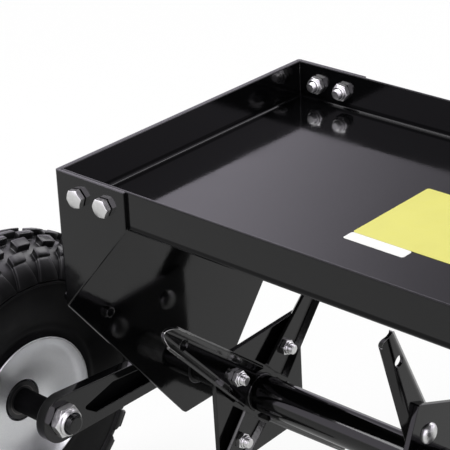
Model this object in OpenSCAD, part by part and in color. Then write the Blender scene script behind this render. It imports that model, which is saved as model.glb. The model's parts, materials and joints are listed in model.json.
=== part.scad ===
// Tow behind plug aerator: a weight tray on two bent end plates, three free tine reels on one shaft,
// two transport wheels on lift arms that the lever turns with the shaft, and a V drawbar with a clevis.
// X runs along the shaft, Y points the way the machine is towed and Z is up. All sizes are in mm.

/* [Tray] */
// Length of the tray along the shaft
tray_l = 922; // [800:1:1200]
// Depth of the tray from back to front
tray_d = 270; // [230:1:340]
// Height of the tray walls
tray_h = 31.5; // [26:0.5:60]
// Sheet thickness of the tray
tray_t = 2; // [1.2:0.1:3]
// Outside radius of the bend between floor and walls
tray_bend_r = 4; // [3:0.5:8]

/* [End plates] */
// Sheet thickness of an end plate
plate_t = 2.5; // [2:0.1:5]
// Height of an end plate from the tray's rim to its foot
plate_h = 259.5; // [240:0.5:330]
// Height of the upright sides of an end plate
plate_side_h = 109; // [80:1:160]
// Width of the flat foot of an end plate
plate_foot_w = 40; // [30:1:90]
// Corner radius of the foot
plate_foot_r = 4; // [1:0.5:12]
// Length of a flange along the tray's wall
flange_w = 66; // [50:1:120]
// Height of a flange's upright end
flange_h = 29; // [20:0.5:60]

/* [Shaft] */
// Diameter of the main shaft
shaft_d = 20; // [16:0.5:28]
// Height from the shaft's axis up to the tray's rim
shaft_drop = 225; // [190:1:260]
// Outside diameter of a bush where it passes the end plate
bush_d = 28; // [24:0.5:40]
// Diameter of the bush's flange
bush_flange_d = 40; // [34:0.5:60]
// Thickness of the bush's flange
bush_flange_t = 5; // [2:0.5:10]
// Outside diameter of the stop collars
collar_d = 23; // [22:0.5:44]
// Width of a stop collar
collar_w = 31.5; // [20:0.5:45]

/* [Tine reels] */
// Distance from an end plate to the reel beside it
reel_side = 61; // [50:0.5:90]
// Length of a reel over the outside of its two plates
reel_l = 178; // [140:1:230]
// Side of a square reel plate
reel_plate_s = 103; // [90:1:130]
// Thickness of a reel plate
reel_plate_t = 4; // [3:0.5:8]
// Corner radius of a reel plate
reel_plate_r = 1.5; // [1:0.5:10]
// Outside diameter of the reel's tube
reel_tube_d = 30; // [28:0.5:40]
// Wall of the reel's tube
reel_tube_t = 2.5; // [2:0.25:4]
// Length of a bush in the reel's tube
reel_bush_l = 22; // [12:1:40]
// Turn of the second plate's tines against the first plate's
reel_stagger = 23.5; // [0:0.5:45]
// Turn of the first reel's tines from the diagonals
reel_turn = 1.5; // [0:0.5:20]
// Turn of each reel against the one before
reel_step = 11; // [0:1:90]

/* [Tines] */
// Radius of the tine tips about the shaft
tine_tip_r = 147; // [125:1:150]
// Radius of a tine's inner end
tine_root_r = 20; // [18:0.5:26]
// Width of a tine at its inner end
tine_root_w = 36; // [32:0.5:40]
// Width of a tine at its tip
tine_tip_w = 17.5; // [17.5:0.5:24]
// Turn of the bends between a tine's web and its flared legs
tine_flare = 42; // [30:1:60]
// Width of a tine's legs beyond the bends
tine_leg = 5.5; // [4:0.5:5.5]
// Round of a tine's tip
tine_tip_round = 7.5; // [6:0.5:12]
// Sheet thickness of a tine
tine_t = 2.5; // [2:0.1:4]
// Outside radius of the trough's bends
tine_bend_r = 6; // [4:0.5:6]
// Radius of the tine bolts about the shaft
tine_bolt_r = 41; // [36:0.5:44]
// Diameter of the core release hole
tine_hole_d = 9; // [4:0.5:10]
// Radius of the core release hole about the shaft
tine_hole_r = 120; // [90:1:126]

/* [Wheels] */
// Diameter of a tyre over its tread
tyre_d = 271; // [250:1:340]
// Width of a tyre
tyre_w = 80; // [74:1:100]
// Number of tread lugs round a tyre in each row
tyre_lugs = 30; // [20:2:40]
// Height of the tread lugs
tyre_lug_h = 6; // [3:0.5:9]
// Thickness of the tyre's tread under the lugs
tyre_tread_t = 8; // [6:0.5:14]
// Thickness of the tyre's side walls
tyre_wall_t = 7; // [4:0.5:12]
// Diameter of the tyre's bead
bead_d = 101.6; // [90:0.1:120]
// Width of the rim over its lips
rim_w = 70; // [60:0.5:74]
// Height of the rim's lips above the bead
rim_lip_h = 8; // [4:0.5:12]
// Sheet thickness of the rim
rim_t = 2.5; // [2:0.1:4]
// Depth of the disc inside the rim's inner lip
rim_dish = 15; // [8:0.5:24]
// Outside diameter of the wheel's hub tube
wheel_hub_d = 38; // [34:0.5:50]
// Outside diameter of a wheel bearing
bearing_d = 32; // [28:0.5:42]
// Width of a wheel bearing
bearing_w = 10; // [8:0.5:16]
// Diameter of the tyre valve's stem
valve_d = 9; // [7:0.5:11]
// Length of the tyre valve's stem
valve_l = 22; // [16:0.5:24]
// Distance from the end plate's inner face to the middle of the wheel
wheel_out = 103; // [95:0.5:130]

/* [Wheel arms] */
// Length of a wheel arm from the shaft to the wheel's axle
arm_l = 123; // [110:1:160]
// Drop of the axle below the shaft when the wheels are down
arm_drop = 3; // [0:0.5:12]
// Height of a wheel arm at the shaft
arm_h = 30; // [26:0.5:36]
// Drop of the arm's middle below the shaft
arm_low = 10; // [0:0.5:12]
// Thickness of a wheel arm
arm_t = 9; // [6:0.5:14]
// Radius of the arm's end round the axle
arm_end_r = 20; // [18:0.5:26]
// Distance from the end plate's inner face to the arm's inner face
arm_out = 34; // [26:0.5:44]
// Outside diameter of the arm's boss on the shaft
boss_d = 34; // [28:0.5:44]
// Width of the arm above its window
window_top_rim = 7; // [5:0.5:8]
// Width of the arm below its window
window_low_rim = 9.5; // [7:0.5:10.5]
// Highest turn of the wheel arms
lift_turn = 33; // [20:1:33]

/* [Fasteners] */
// Diameter of the tray, tine, stop and drawbar bolts
bolt_d = 8; // [6:0.5:10]
// Width across the flats of those bolts and nuts
bolt_af = 13; // [10:0.5:17]
// Height of those bolts' heads
bolt_head_h = 5.3; // [4:0.1:7]
// Height of those bolts' nuts
nut_h = 7; // [5:0.1:10]
// Diameter of the axle bolts
axle_d = 16; // [12:0.5:20]
// Width across the flats of the axle bolts and nuts
axle_af = 24; // [19:0.5:30]
// Height of an axle bolt's head
axle_head_h = 10; // [7:0.5:13]
// Height of an axle nut
axle_nut_h = 11; // [9:0.5:20]
// Outside diameter of the axle sleeves
sleeve_d = 20; // [18:0.5:28]

/* [Drawbar] */
// Outside width and height of a drawbar tube
bar_s = 25; // [20:0.5:40]
// Wall of a drawbar tube
bar_t = 2; // [1.5:0.1:4]
// Distance of a drawbar tube's back end from the middle
bar_back_x = 160; // [130:1:200]
// Distance of a drawbar tube's front end from the middle
bar_front_x = 24; // [20:0.5:40]
// Distance of the drawbar's back end behind the shaft
bar_back_y = 75; // [50:1:90]
// Distance of the drawbar's front end ahead of the shaft
bar_front_y = 465; // [380:1:700]
// Thickness of the hitch plates
hitch_t = 5; // [4:0.5:10]
// Width of the hitch plates at the back
hitch_w = 84; // [80:1:120]
// Length of the hitch plates
hitch_l = 130; // [115:1:200]
// Radius of the hitch plates' nose
hitch_nose_r = 24; // [18:0.5:40]
// Diameter of the hole for the tractor's hitch pin
hitch_hole_d = 16.5; // [12:0.5:22]

/* [Lift lever] */
// Length of the lever from the shaft to its end
lever_l = 450; // [380:1:600]
// Width of the lever's flat bar
lever_w = 30; // [20:0.5:40]
// Thickness of the lever's flat bar
lever_t = 8; // [5:0.5:12]
// Rise of the lever above the level when the wheels are down
lever_turn = 46; // [40:1:48]
// Length of the lever's grip
grip_l = 125; // [90:1:180]
// Diameter of the lever's grip
grip_d = 38; // [36:0.5:46]
// Radius of the quadrant's slot about the shaft
quadrant_r = 230; // [220:1:250]
// Width of the quadrant's arc
quadrant_w = 36; // [28:0.5:50]
// Thickness of the quadrant
quadrant_t = 5; // [3:0.5:8]
// Diameter of the clamp bolt
clamp_d = 10; // [8:0.5:12]
// Diameter of the clamp knob over its lobes
knob_d = 42; // [34:0.5:60]
// Height of the clamp knob
knob_h = 22; // [16:0.5:34]

/* [Hidden] */
$fn = 40;
// Cuts run past the faces that they open by this much
over = 1;
// Gap between flat faces of pieces that move against each other
face_gap = 0.3;
// Radial clearance of a shaft, pin or bolt in a bore that turns on it
run_gap = 0.05;
// Radial clearance of a bolt in a plain hole
hole_gap = 0.2;
// Height from the ground under the wheels to the shaft, and the slant of the arms
shaft_z = tyre_d / 2 + arm_drop;
arm_turn = asin(arm_drop / arm_l);
arm_y = arm_l * cos(arm_turn);
// Height of the tray's rim and of its underside
rim_z = shaft_z + shaft_drop;
floor_z = rim_z - tray_h;
// Half sizes of the tray over its walls
half_l = tray_l / 2;
half_d = tray_d / 2;
// Share of the hitch plates' length that lies over the drawbar tubes
hitch_lap_share = 0.42;
// The whole part is moved along Y so that its box stands in the middle
back_y = -arm_y - tyre_d / 2;
front_y = bar_front_y + hitch_l * (1 - hitch_lap_share);
frame_y = -(back_y + front_y) / 2;
// Signs of the two ends of the machine
sides = [-1, 1];
// Points along each rounded corner of a sheet outline
round_steps = 6;

// Places of the bolts on the tray's flanges, as shares of the flange's length
flange_bolt_shares = [0.31, 0.7];
flange_bolt_z = rim_z - tray_h / 2;
// Place of the wheel arms' stop bolt about the shaft
stop_y = -98.5;
stop_z = 94;
// The stop bolt shows this much thread inside the end plate
stop_thread = 3.5;
// Thread that shows past a nut
thread_out = 3;
// Thread that shows past an axle nut
axle_thread_out = 4;
// Flat steps of a tine's bends
tine_bend_steps = 6;
// Shares of a lock nut's height and width that its hexagon and its round ring take
nut_hex_share = 0.7;
nut_ring_share = 0.92;

// Places of the reels, and of the lever in the gap right of the middle reel
reels = [-1, 0, 1];
reel_pitch = half_l - reel_side - reel_l / 2;
reel_gap = reel_pitch - reel_l;
lever_x = reel_pitch / 2;
boss_w = 36;
// Coach bolts hold the tines: a low round head against the reel plate
dome_d = 19;
dome_h = 4.6;
tine_angles = [45, 135, 225, 315];

// Axial places of an arm, its boss and the shaft's end, out from the tray's end
arm_back = arm_out + arm_t;
boss_in = plate_t + bush_flange_t + face_gap;
shaft_proud = 2;
shaft_half = half_l + arm_back + shaft_proud;
// Places of the wheel's lips, disc and hub from the wheel's middle, positive towards the machine
rim_lip_t = 3;
disc_a = rim_w / 2 - rim_dish;
hub_in = disc_a + rim_t;
hub_out = -rim_w / 2;
bead_r = bead_d / 2;
seat_r = bead_r - run_gap;
lip_r = bead_r + rim_lip_h;
well_share = 0.86;
well_r = bead_r * well_share;
well_half_share = 0.2;
well_half = rim_w * well_half_share;
// Inside radius of the disc's bend into the barrel
disc_round_r = 8;
// Foot of the tyre valve inside the rim's drop centre
valve_foot_d = 15;
valve_foot_t = 2.5;
// Outline of the tyre: bead, belly and crown
bead_half = rim_w / 2 - rim_lip_t - run_gap;
bead_t = 10;
belly_share = 0.52;
belly_r = bead_r + (tyre_d / 2 - bead_r) * belly_share;
crown_share = 1;
wall_r = lip_r + face_gap;
wall_steps = 4;
crown_steps = 8;
carcass_r = tyre_d / 2 - tyre_lug_h;
carcass_half = tyre_w / 2 - tyre_lug_h / 2;
// Rows of lugs: where they start and how much of the pitch and the half width they fill
shoulder_r = belly_r + tyre_lug_h;
knob_low_r = carcass_r - tyre_tread_t;
shoulder_share = 0.52;
shoulder_fill_share = 0.56;
lug_start_share = 0.21;
knob_start_share = 0.71;
knob_fill_share = 0.5;
knob_in_share = 0.06;
knob_out_share = 0.4;
wheel_x = half_l + wheel_out;
sleeve_l = wheel_out - arm_back - hub_in - 2 * face_gap;
// Spring pins hold the arms and the lever on the shaft
spring_pin_d = 6;
// Shares of the arm's length and height at the corners of its window
window_tip_share = 0.82;
window_low_share = 0.71;
window_knee_share = 0.54;
window_end_share = 0.19;
window_round_share = 0.06;
arm_pin_x = half_l + (boss_in + arm_out) / 2;

// Length and slant of a drawbar tube in the plan
bar_run = [bar_front_x - bar_back_x, bar_front_y + bar_back_y];
bar_l = norm(bar_run);
bar_slant = atan2(-bar_run[0], bar_run[1]);
// Places of the bolts along a drawbar tube, under the tray and at the hitch
bar_bolt_back = 28;
bar_bolt_front = 188;
bar_hitch_in = 24;
hitch_pin_y = front_y - hitch_nose_r;
// Rounds of the hitch plates' corners, as shares of the nose's radius
hitch_round_shares = [0.25, 0.25, 0.5, 0.8, 0.8, 0.5];

// Angles over which the quadrant's slot and arc run, about the shaft
slot_low = lever_turn - lift_turn;
slot_margin = 1;
arc_margin = 8;
clamp_x = lever_x - lever_t / 2;
quadrant_x = lever_x + lever_t / 2 + face_gap;
tab_w = 52;
tab_bolt_shares = [0.36, 0.8];
clamp_head_h = 6.4;
clamp_af = 17;
// Ribs of the lever's grip and the wall over the lever's end
grip_ribs = 6;
grip_rib_h = 2;
grip_cap = 8;
// Lobes of the clamp knob, and shares of its sizes that lobes, neck and bore take
knob_lobes = 6;
knob_lobe_share = 0.3;
knob_neck_share = 0.5;
knob_neck_h_share = 0.3;
knob_thread_share = 0.7;
knob_bore_share = 0.8;

// Unit vector
function unit(v) = v / norm(v);

// Outline with a round of radius rs[i] at each corner; the points go round anticlockwise
function rounded(pts, rs) = [
    for (i = [0 : len(pts) - 1])
        let (
            p = pts[i],
            a = unit(pts[(i + len(pts) - 1) % len(pts)] - p),
            b = unit(pts[(i + 1) % len(pts)] - p),
            half = acos(max(-1, min(1, a * b))) / 2,
            r = rs[i],
            way = cross(p - pts[(i + len(pts) - 1) % len(pts)], pts[(i + 1) % len(pts)] - p) < 0 ? -1 : 1,
            centre = p + unit(a + b) * r / sin(half),
            start = atan2(-(a + b)[1], -(a + b)[0]) - way * (90 - half),
            steps = r > 0 ? round_steps : 0
        )
        for (k = [0 : steps])
            let (turn = start + way * k * (180 - 2 * half) / max(1, steps))
            r > 0 ? centre + r * [cos(turn), sin(turn)] : p
];

// Moves shaft-centred shapes to their place in the part's own frame
module at_frame() {
    translate([0, frame_y, 0]) children();
}

// Moves shapes drawn about the shaft's axis up to the shaft
module at_shaft() {
    translate([0, frame_y, shaft_z]) children();
}

// Extrudes a YZ outline along X
module along_x(length) {
    rotate([90, 0, 90]) linear_extrude(length) children();
}

// Extrudes an XZ outline along Y
module along_y(length) {
    translate([0, length, 0]) rotate([90, 0, 0]) linear_extrude(length) children();
}

// Round bar along X
module bar_x(d, length) {
    rotate([0, 90, 0]) cylinder(d = d, h = length);
}

// Tube along X
module tube_x(d, bore, length) {
    difference() {
        bar_x(d, length);
        translate([-over, 0, 0]) bar_x(bore, length + 2 * over);
    }
}

// Hexagon prism from its width across the flats
module hexagon(af, h) {
    cylinder(d = af / cos(30), h = h, $fn = 6);
}

// Hexagon bolt: the head's seat lies at zero and the shank goes up
module hex_bolt(d, af, head_h, length) {
    translate([0, 0, -head_h]) hexagon(af, head_h);
    translate([0, 0, -head_h / 2]) cylinder(d = d, h = length + head_h / 2);
}

// Hexagon nut that sits on zero, with a round collar for its locking ring
module lock_nut(d, af, h) {
    difference() {
        union() {
            hexagon(af, h * nut_hex_share);
            cylinder(d = af * nut_ring_share, h = h);
        }
        translate([0, 0, -over]) cylinder(r = d / 2 + run_gap, h = h + 2 * over);
    }
}

// Tray

// Bottom-rounded section of the tray in one direction
module pan_section(w, h, r) {
    translate([-w / 2, r]) square([w, h - r]);
    translate([-w / 2 + r, 0]) square([w - 2 * r, h]);
    for (s = sides) translate([s * (w / 2 - r), r]) circle(r);
}

// Solid pan with round lower edges
module pan(l, d, h, r) {
    intersection() {
        translate([-l / 2, 0, 0]) along_x(l) pan_section(d, h, r);
        translate([0, -d / 2, 0]) along_y(d) pan_section(l, h, r);
    }
}

// Points of the flange bolts along the tray
function flange_bolt_x(side, share) = side * (half_l - flange_w * share);

// Holes for the flange bolts through both long walls
module flange_bolt_holes() {
    for (side = sides, share = flange_bolt_shares)
        translate([flange_bolt_x(side, share), -half_d - plate_t - over, flange_bolt_z])
            rotate([-90, 0, 0]) cylinder(r = bolt_d / 2 + hole_gap, h = tray_d + 2 * (plate_t + over));
}

// Places of the drawbar bolts in the tray's floor
module drawbar_bolt_places() {
    for (side = sides, run = [bar_bolt_back, bar_bolt_front])
        translate([side * bar_back_x, -bar_back_y, 0])
            translate(run / bar_l * [side * bar_run[0], bar_run[1], 0]) children();
}

// Places of the quadrant's bolts in the tray's front wall
module tab_bolt_places() {
    for (share = tab_bolt_shares) translate([quadrant_x + tab_w * share, half_d, flange_bolt_z]) children();
}

module weight_tray() {
    color("#1b1b1d") at_frame() difference() {
        translate([0, 0, floor_z]) pan(tray_l, tray_d, tray_h, tray_bend_r);
        translate([0, 0, floor_z + tray_t])
            pan(tray_l - 2 * tray_t, tray_d - 2 * tray_t, tray_h + over, tray_bend_r - tray_t);
        flange_bolt_holes();
        drawbar_bolt_places() translate([0, 0, floor_z - over])
            cylinder(r = bolt_d / 2 + hole_gap, h = tray_t + 2 * over);
        tab_bolt_places() rotate([90, 0, 0]) translate([0, 0, -over])
            cylinder(r = bolt_d / 2 + hole_gap, h = tray_t + 2 * over);
    }
}

// End plates

// Plan of the bent sheet: the plate and its two flanges, drawn for the left end with its inner face at zero
module end_plate_plan() {
    translate([-plate_t, -half_d]) square([plate_t, tray_d]);
    for (s = sides) {
        translate([0, s * (half_d + plate_t / 2) - plate_t / 2]) square([flange_w, plate_t]);
        translate([0, s * half_d]) circle(plate_t);
    }
}

// Side view of the plate: upright sides, slanted edges and a flat foot
module end_plate_outline() {
    w = half_d + plate_t;
    foot = plate_foot_w / 2;
    polygon(rounded(
        [[-foot, -plate_h], [foot, -plate_h], [w, -plate_side_h], [w, 0], [-w, 0], [-w, -plate_side_h]],
        [plate_foot_r, plate_foot_r, plate_foot_r, 0, 0, plate_foot_r]));
}

// Front view of a flange: an upright end and a slanted lower edge
module flange_outline() {
    polygon([[-plate_t, 0], [-plate_t, -plate_side_h], [0, -plate_side_h], [flange_w, -flange_h],
        [flange_w, 0]]);
}

// Left end plate; the right one is its mirror image
module end_plate_shape() {
    difference() {
        translate([-half_l, 0, rim_z]) intersection() {
            translate([0, 0, -plate_h]) linear_extrude(plate_h) end_plate_plan();
            union() {
                translate([-plate_t, 0, 0]) along_x(plate_t) end_plate_outline();
                translate([0, -half_d - plate_t, 0]) along_y(tray_d + 2 * plate_t) flange_outline();
            }
        }
        flange_bolt_holes();
        translate([-half_l - plate_t - over, 0, shaft_z]) bar_x(bush_d + 2 * run_gap, plate_t + 2 * over);
        translate([-half_l - plate_t - over, stop_y, shaft_z + stop_z])
            bar_x(bolt_d + 2 * hole_gap, plate_t + 2 * over);
        translate([-half_l, -half_d, floor_z]) cube([flange_w + over, tray_d, tray_h + over]);
        translate([-half_l, -half_d, rim_z - plate_h - over])
            cube([flange_w + over, tray_d, plate_h + 2 * over]);
    }
}

module end_plate_left() {
    color("#161618") at_frame() end_plate_shape();
}

module end_plate_right() {
    color("#161618") at_frame() mirror([1, 0, 0]) end_plate_shape();
}

// Bolts that hold the flanges and the quadrant's tab on the tray's walls
module tray_bolts() {
    grip = plate_t + tray_t + nut_h + thread_out;
    color("#c9c9c6") at_frame() {
        for (side = sides, share = flange_bolt_shares, s = sides)
            translate([flange_bolt_x(side, share), s * (half_d + plate_t), flange_bolt_z])
                rotate([s * 90, 0, 0]) hex_bolt(bolt_d, bolt_af, bolt_head_h, grip);
        tab_bolt_places() translate([0, quadrant_t, 0]) rotate([90, 0, 0])
            hex_bolt(bolt_d, bolt_af, bolt_head_h, quadrant_t + grip - plate_t);
    }
}

// Every nut of the frame's small bolts
module frame_nuts() {
    color("#d2d2cf") at_frame() {
        for (side = sides, share = flange_bolt_shares, s = sides)
            translate([flange_bolt_x(side, share), s * (half_d - tray_t), flange_bolt_z])
                rotate([s * 90, 0, 0]) lock_nut(bolt_d, bolt_af, nut_h);
        tab_bolt_places() translate([0, -tray_t, 0]) rotate([90, 0, 0]) lock_nut(bolt_d, bolt_af, nut_h);
        drawbar_bolt_places() translate([0, 0, floor_z - bar_s]) rotate([180, 0, 0])
            lock_nut(bolt_d, bolt_af, nut_h);
        for (side = sides)
            translate([side * (half_l + plate_t), stop_y, shaft_z + stop_z])
                rotate([0, side * 90, 0]) lock_nut(bolt_d, bolt_af, nut_h);
    }
}

// Flanged bushes that carry the shaft in the end plates
module shaft_bushes() {
    color("#2a2a2c") at_shaft() for (side = sides)
        scale([side, 1, 1]) translate([half_l, 0, 0]) difference() {
            union() {
                bar_x(bush_d, plate_t + bush_flange_t);
                translate([plate_t, 0, 0]) bar_x(bush_flange_d, bush_flange_t);
            }
            translate([-over, 0, 0]) bar_x(shaft_d + 2 * run_gap, plate_t + bush_flange_t + 2 * over);
        }
}

// Stop bolts: threaded studs that end the wheel arms' upward swing
module stop_bolts() {
    color("#8d8d8b") at_shaft() for (side = sides)
        translate([side * (half_l - stop_thread), stop_y, stop_z])
            rotate([0, side * 90, 0]) cylinder(d = bolt_d, h = stop_thread + arm_back);
}

// Drawbar

// One square tube of the V, drawn along Y from its back end, with its top at zero
module drawbar_tube() {
    difference() {
        translate([-bar_s / 2, 0, -bar_s]) cube([bar_s, bar_l, bar_s]);
        translate([bar_t - bar_s / 2, -over, bar_t - bar_s])
            cube([bar_s - 2 * bar_t, bar_l + 2 * over, bar_s - 2 * bar_t]);
        for (run = [bar_bolt_back, bar_bolt_front, bar_l - bar_hitch_in])
            translate([0, run, -bar_s - over]) cylinder(r = bolt_d / 2 + hole_gap, h = bar_s + 2 * over);
    }
}

module drawbar_left() {
    color("#19191b") at_frame() translate([-bar_back_x, -bar_back_y, floor_z]) rotate([0, 0, -bar_slant])
        drawbar_tube();
}

module drawbar_right() {
    color("#19191b") at_frame() translate([bar_back_x, -bar_back_y, floor_z]) rotate([0, 0, bar_slant])
        drawbar_tube();
}

// Bolts through the tray's floor and the drawbar tubes
module drawbar_bolts() {
    color("#c9c9c6") at_frame() drawbar_bolt_places() translate([0, 0, floor_z + tray_t]) rotate([180, 0, 0])
        hex_bolt(bolt_d, bolt_af, bolt_head_h, tray_t + bar_s + nut_h + thread_out);
}

// Places of the hitch bolts near the front ends of the drawbar tubes
module hitch_bolt_places() {
    for (side = sides)
        translate(concat([side * bar_back_x, -bar_back_y]
            + (bar_l - bar_hitch_in) / bar_l * [side * bar_run[0], bar_run[1]], 0)) children();
}

// Hitch plate: wide over the tubes and round at the nose
module hitch_plate() {
    nose = hitch_nose_r;
    difference() {
        linear_extrude(hitch_t) polygon(rounded(
            [[-hitch_w / 2, front_y - hitch_l], [hitch_w / 2, front_y - hitch_l],
                [hitch_w / 2, front_y - hitch_l / 2], [nose, front_y], [-nose, front_y],
                [-hitch_w / 2, front_y - hitch_l / 2]],
            nose * hitch_round_shares));
        translate([0, hitch_pin_y, -over]) cylinder(d = hitch_hole_d, h = hitch_t + 2 * over);
        hitch_bolt_places() translate([0, 0, -over])
            cylinder(r = bolt_d / 2 + hole_gap, h = hitch_t + 2 * over);
    }
}

module hitch_plate_top() {
    color("#1d1d1f") at_frame() translate([0, 0, floor_z]) hitch_plate();
}

module hitch_plate_bottom() {
    color("#1d1d1f") at_frame() translate([0, 0, floor_z - bar_s - hitch_t]) hitch_plate();
}

module hitch_bolts() {
    color("#c9c9c6") at_frame() hitch_bolt_places() translate([0, 0, floor_z + hitch_t]) rotate([180, 0, 0])
        hex_bolt(bolt_d, bolt_af, bolt_head_h, bar_s + 2 * hitch_t + nut_h + thread_out);
}

module hitch_nuts() {
    color("#d2d2cf") at_frame() hitch_bolt_places() translate([0, 0, floor_z - bar_s - hitch_t])
        rotate([180, 0, 0]) lock_nut(bolt_d, bolt_af, nut_h);
}

// Lift gear

// Sector of a flat ring about the shaft, in the YZ plane
module sector(r, w, from, to) {
    difference() {
        circle(r + w / 2);
        circle(r - w / 2);
        rotate(to) translate([-2 * r, 0]) square([4 * r, 2 * r]);
        rotate(from) translate([-2 * r, -2 * r]) square([4 * r, 2 * r]);
    }
}

// Quadrant: an arc with a slot for the clamp bolt, hung from a tab on the tray's front wall
module lever_quadrant() {
    slot_w = clamp_d + 2 * hole_gap;
    top = shaft_drop - tray_h / 2 + bolt_af;
    color("#1d1d1f") at_shaft() {
        translate([quadrant_x, 0, 0]) along_x(quadrant_t) difference() {
            union() {
                sector(quadrant_r, quadrant_w, slot_low - arc_margin, lever_turn + arc_margin);
                translate([half_d, quadrant_r * sin(lever_turn)])
                    square([quadrant_w, top - quadrant_r * sin(lever_turn)]);
            }
            sector(quadrant_r, slot_w, slot_low - slot_margin, lever_turn + slot_margin);
            for (turn = [slot_low - slot_margin, lever_turn + slot_margin])
                translate(quadrant_r * [cos(turn), sin(turn)]) circle(d = slot_w);
            translate([0, 0]) square([half_d, shaft_drop + over]);
        }
        difference() {
            translate([quadrant_x, half_d, shaft_drop - tray_h / 2 - bolt_af])
                cube([tab_w, quadrant_t, 2 * bolt_af]);
            for (share = tab_bolt_shares)
                translate([quadrant_x + tab_w * share, half_d - over, shaft_drop - tray_h / 2])
                    rotate([-90, 0, 0]) cylinder(r = bolt_d / 2 + hole_gap, h = quadrant_t + 2 * over);
        }
    }
}

// Round bar that the reels turn on and that turns the wheel arms
module main_shaft() {
    color("#8f8f8c") at_shaft() difference() {
        translate([-shaft_half, 0, 0]) bar_x(shaft_d, 2 * shaft_half);
        for (x = [-arm_pin_x, lever_x, arm_pin_x])
            translate([x, 0, -shaft_d]) cylinder(r = spring_pin_d / 2 + run_gap, h = 2 * shaft_d);
    }
}

// Collars that keep the outer reels off the end plates
module shaft_collars() {
    color("#1a1a1c") at_shaft() for (side = sides)
        translate([side * (half_l - face_gap - collar_w / 2) - collar_w / 2, 0, 0])
            tube_x(collar_d, shaft_d + 2 * run_gap, collar_w);
}

// Spacer tube between the left and the middle reel
module spacer_long() {
    color("#1a1a1c") at_shaft() translate([-reel_pitch + reel_l / 2 + face_gap, 0, 0])
        tube_x(reel_tube_d, shaft_d + 2 * run_gap, reel_gap - 2 * face_gap);
}

// Spacer tubes on both sides of the lever's boss
module spacers_short() {
    length = (reel_gap - boss_w) / 2 - 2 * face_gap;
    color("#1a1a1c") at_shaft() for (s = sides)
        translate([lever_x + s * (boss_w / 2 + face_gap + length / 2) - length / 2, 0, 0])
            tube_x(reel_tube_d, shaft_d + 2 * run_gap, length);
}

// Side view of a wheel arm, from the shaft back to the axle
module arm_outline() {
    length = norm([arm_l, arm_low]);
    lean = asin((arm_end_r - arm_h / 2) / length);
    wide = arm_end_r * [sin(lean), cos(lean)];
    slim = arm_h / 2 * [sin(lean), cos(lean)];
    translate([-arm_l, 0]) rotate(-atan(arm_low / arm_l)) {
        circle(arm_end_r);
        translate([length, 0]) circle(arm_h / 2);
        polygon([[wide[0], -wide[1]], [length + slim[0], -slim[1]], [length + slim[0], slim[1]], wide]);
    }
}

// Middle of the arm at a share of its length from the shaft
function arm_mid(share) = -arm_low * (1 - share);

// Half of the arm's height at a share of its length from the shaft
function arm_half(share) = arm_h / 2 + (arm_end_r - arm_h / 2) * share;

// Upper edge of the arm's window
function window_top(share) = [-arm_l * share, arm_mid(share) + arm_half(share) - window_top_rim];

// Lower edge of the arm's window
function window_low(share) = [-arm_l * share, arm_mid(share) - arm_half(share) + window_low_rim];

// Window through the arm: a point at the axle, then as wide as the rims leave it
module arm_window() {
    pts = [[-arm_l * window_tip_share, arm_mid(window_tip_share)], window_low(window_low_share),
        window_low(window_end_share), window_top(window_end_share), window_top(window_knee_share)];
    polygon(rounded(pts, [for (p = pts) arm_h * window_round_share]));
}

// Slants an arm that is drawn level
module at_arm() {
    rotate([arm_turn, 0, 0]) children();
}

// Left wheel arm with its boss on the shaft
module wheel_arm_shape() {
    difference() {
        union() {
            at_arm() translate([-half_l - arm_back, 0, 0]) along_x(arm_t) arm_outline();
            translate([-half_l - arm_back, 0, 0]) bar_x(boss_d, arm_back - boss_in);
        }
        at_arm() translate([-half_l - arm_back - over, 0, 0]) along_x(arm_t + 2 * over) arm_window();
        translate([-half_l - arm_back - over, 0, 0]) bar_x(shaft_d + 2 * run_gap, arm_back + 2 * over);
        at_arm() translate([-half_l - arm_back - over, -arm_l, 0])
            bar_x(axle_d + 2 * run_gap, arm_t + 2 * over);
        translate([-arm_pin_x, 0, -boss_d]) cylinder(r = spring_pin_d / 2 + run_gap, h = 2 * boss_d);
    }
}

module wheel_arm_left() {
    color("#19191b") at_shaft() wheel_arm_shape();
}

module wheel_arm_right() {
    color("#19191b") at_shaft() mirror([1, 0, 0]) wheel_arm_shape();
}

// Pins through the shaft that carry the turn to the arms and the lever
module spring_pins() {
    color("#9a9a97") at_shaft() for (x = [-arm_pin_x, lever_x, arm_pin_x])
        translate([x, 0, -boss_d / 2]) cylinder(d = spring_pin_d, h = boss_d);
}

// Lever: a flat bar with a round end, welded on a boss that is pinned to the shaft
module lift_lever() {
    color("#19191b") at_shaft() difference() {
        union() {
            translate([lever_x - boss_w / 2, 0, 0]) bar_x(boss_d, boss_w);
            translate([lever_x - lever_t / 2, 0, 0]) rotate([lever_turn, 0, 0]) along_x(lever_t) {
                translate([0, -lever_w / 2]) square([lever_l - lever_w / 2, lever_w]);
                translate([lever_l - lever_w / 2, 0]) circle(lever_w / 2);
            }
        }
        translate([lever_x - boss_w, 0, 0]) bar_x(shaft_d + 2 * run_gap, 2 * boss_w);
        translate([lever_x, 0, -boss_d]) cylinder(r = spring_pin_d / 2 + run_gap, h = 2 * boss_d);
        rotate([lever_turn, 0, 0]) translate([lever_x - lever_t, quadrant_r, 0])
            bar_x(clamp_d + 2 * hole_gap, 2 * lever_t);
    }
}

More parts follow.
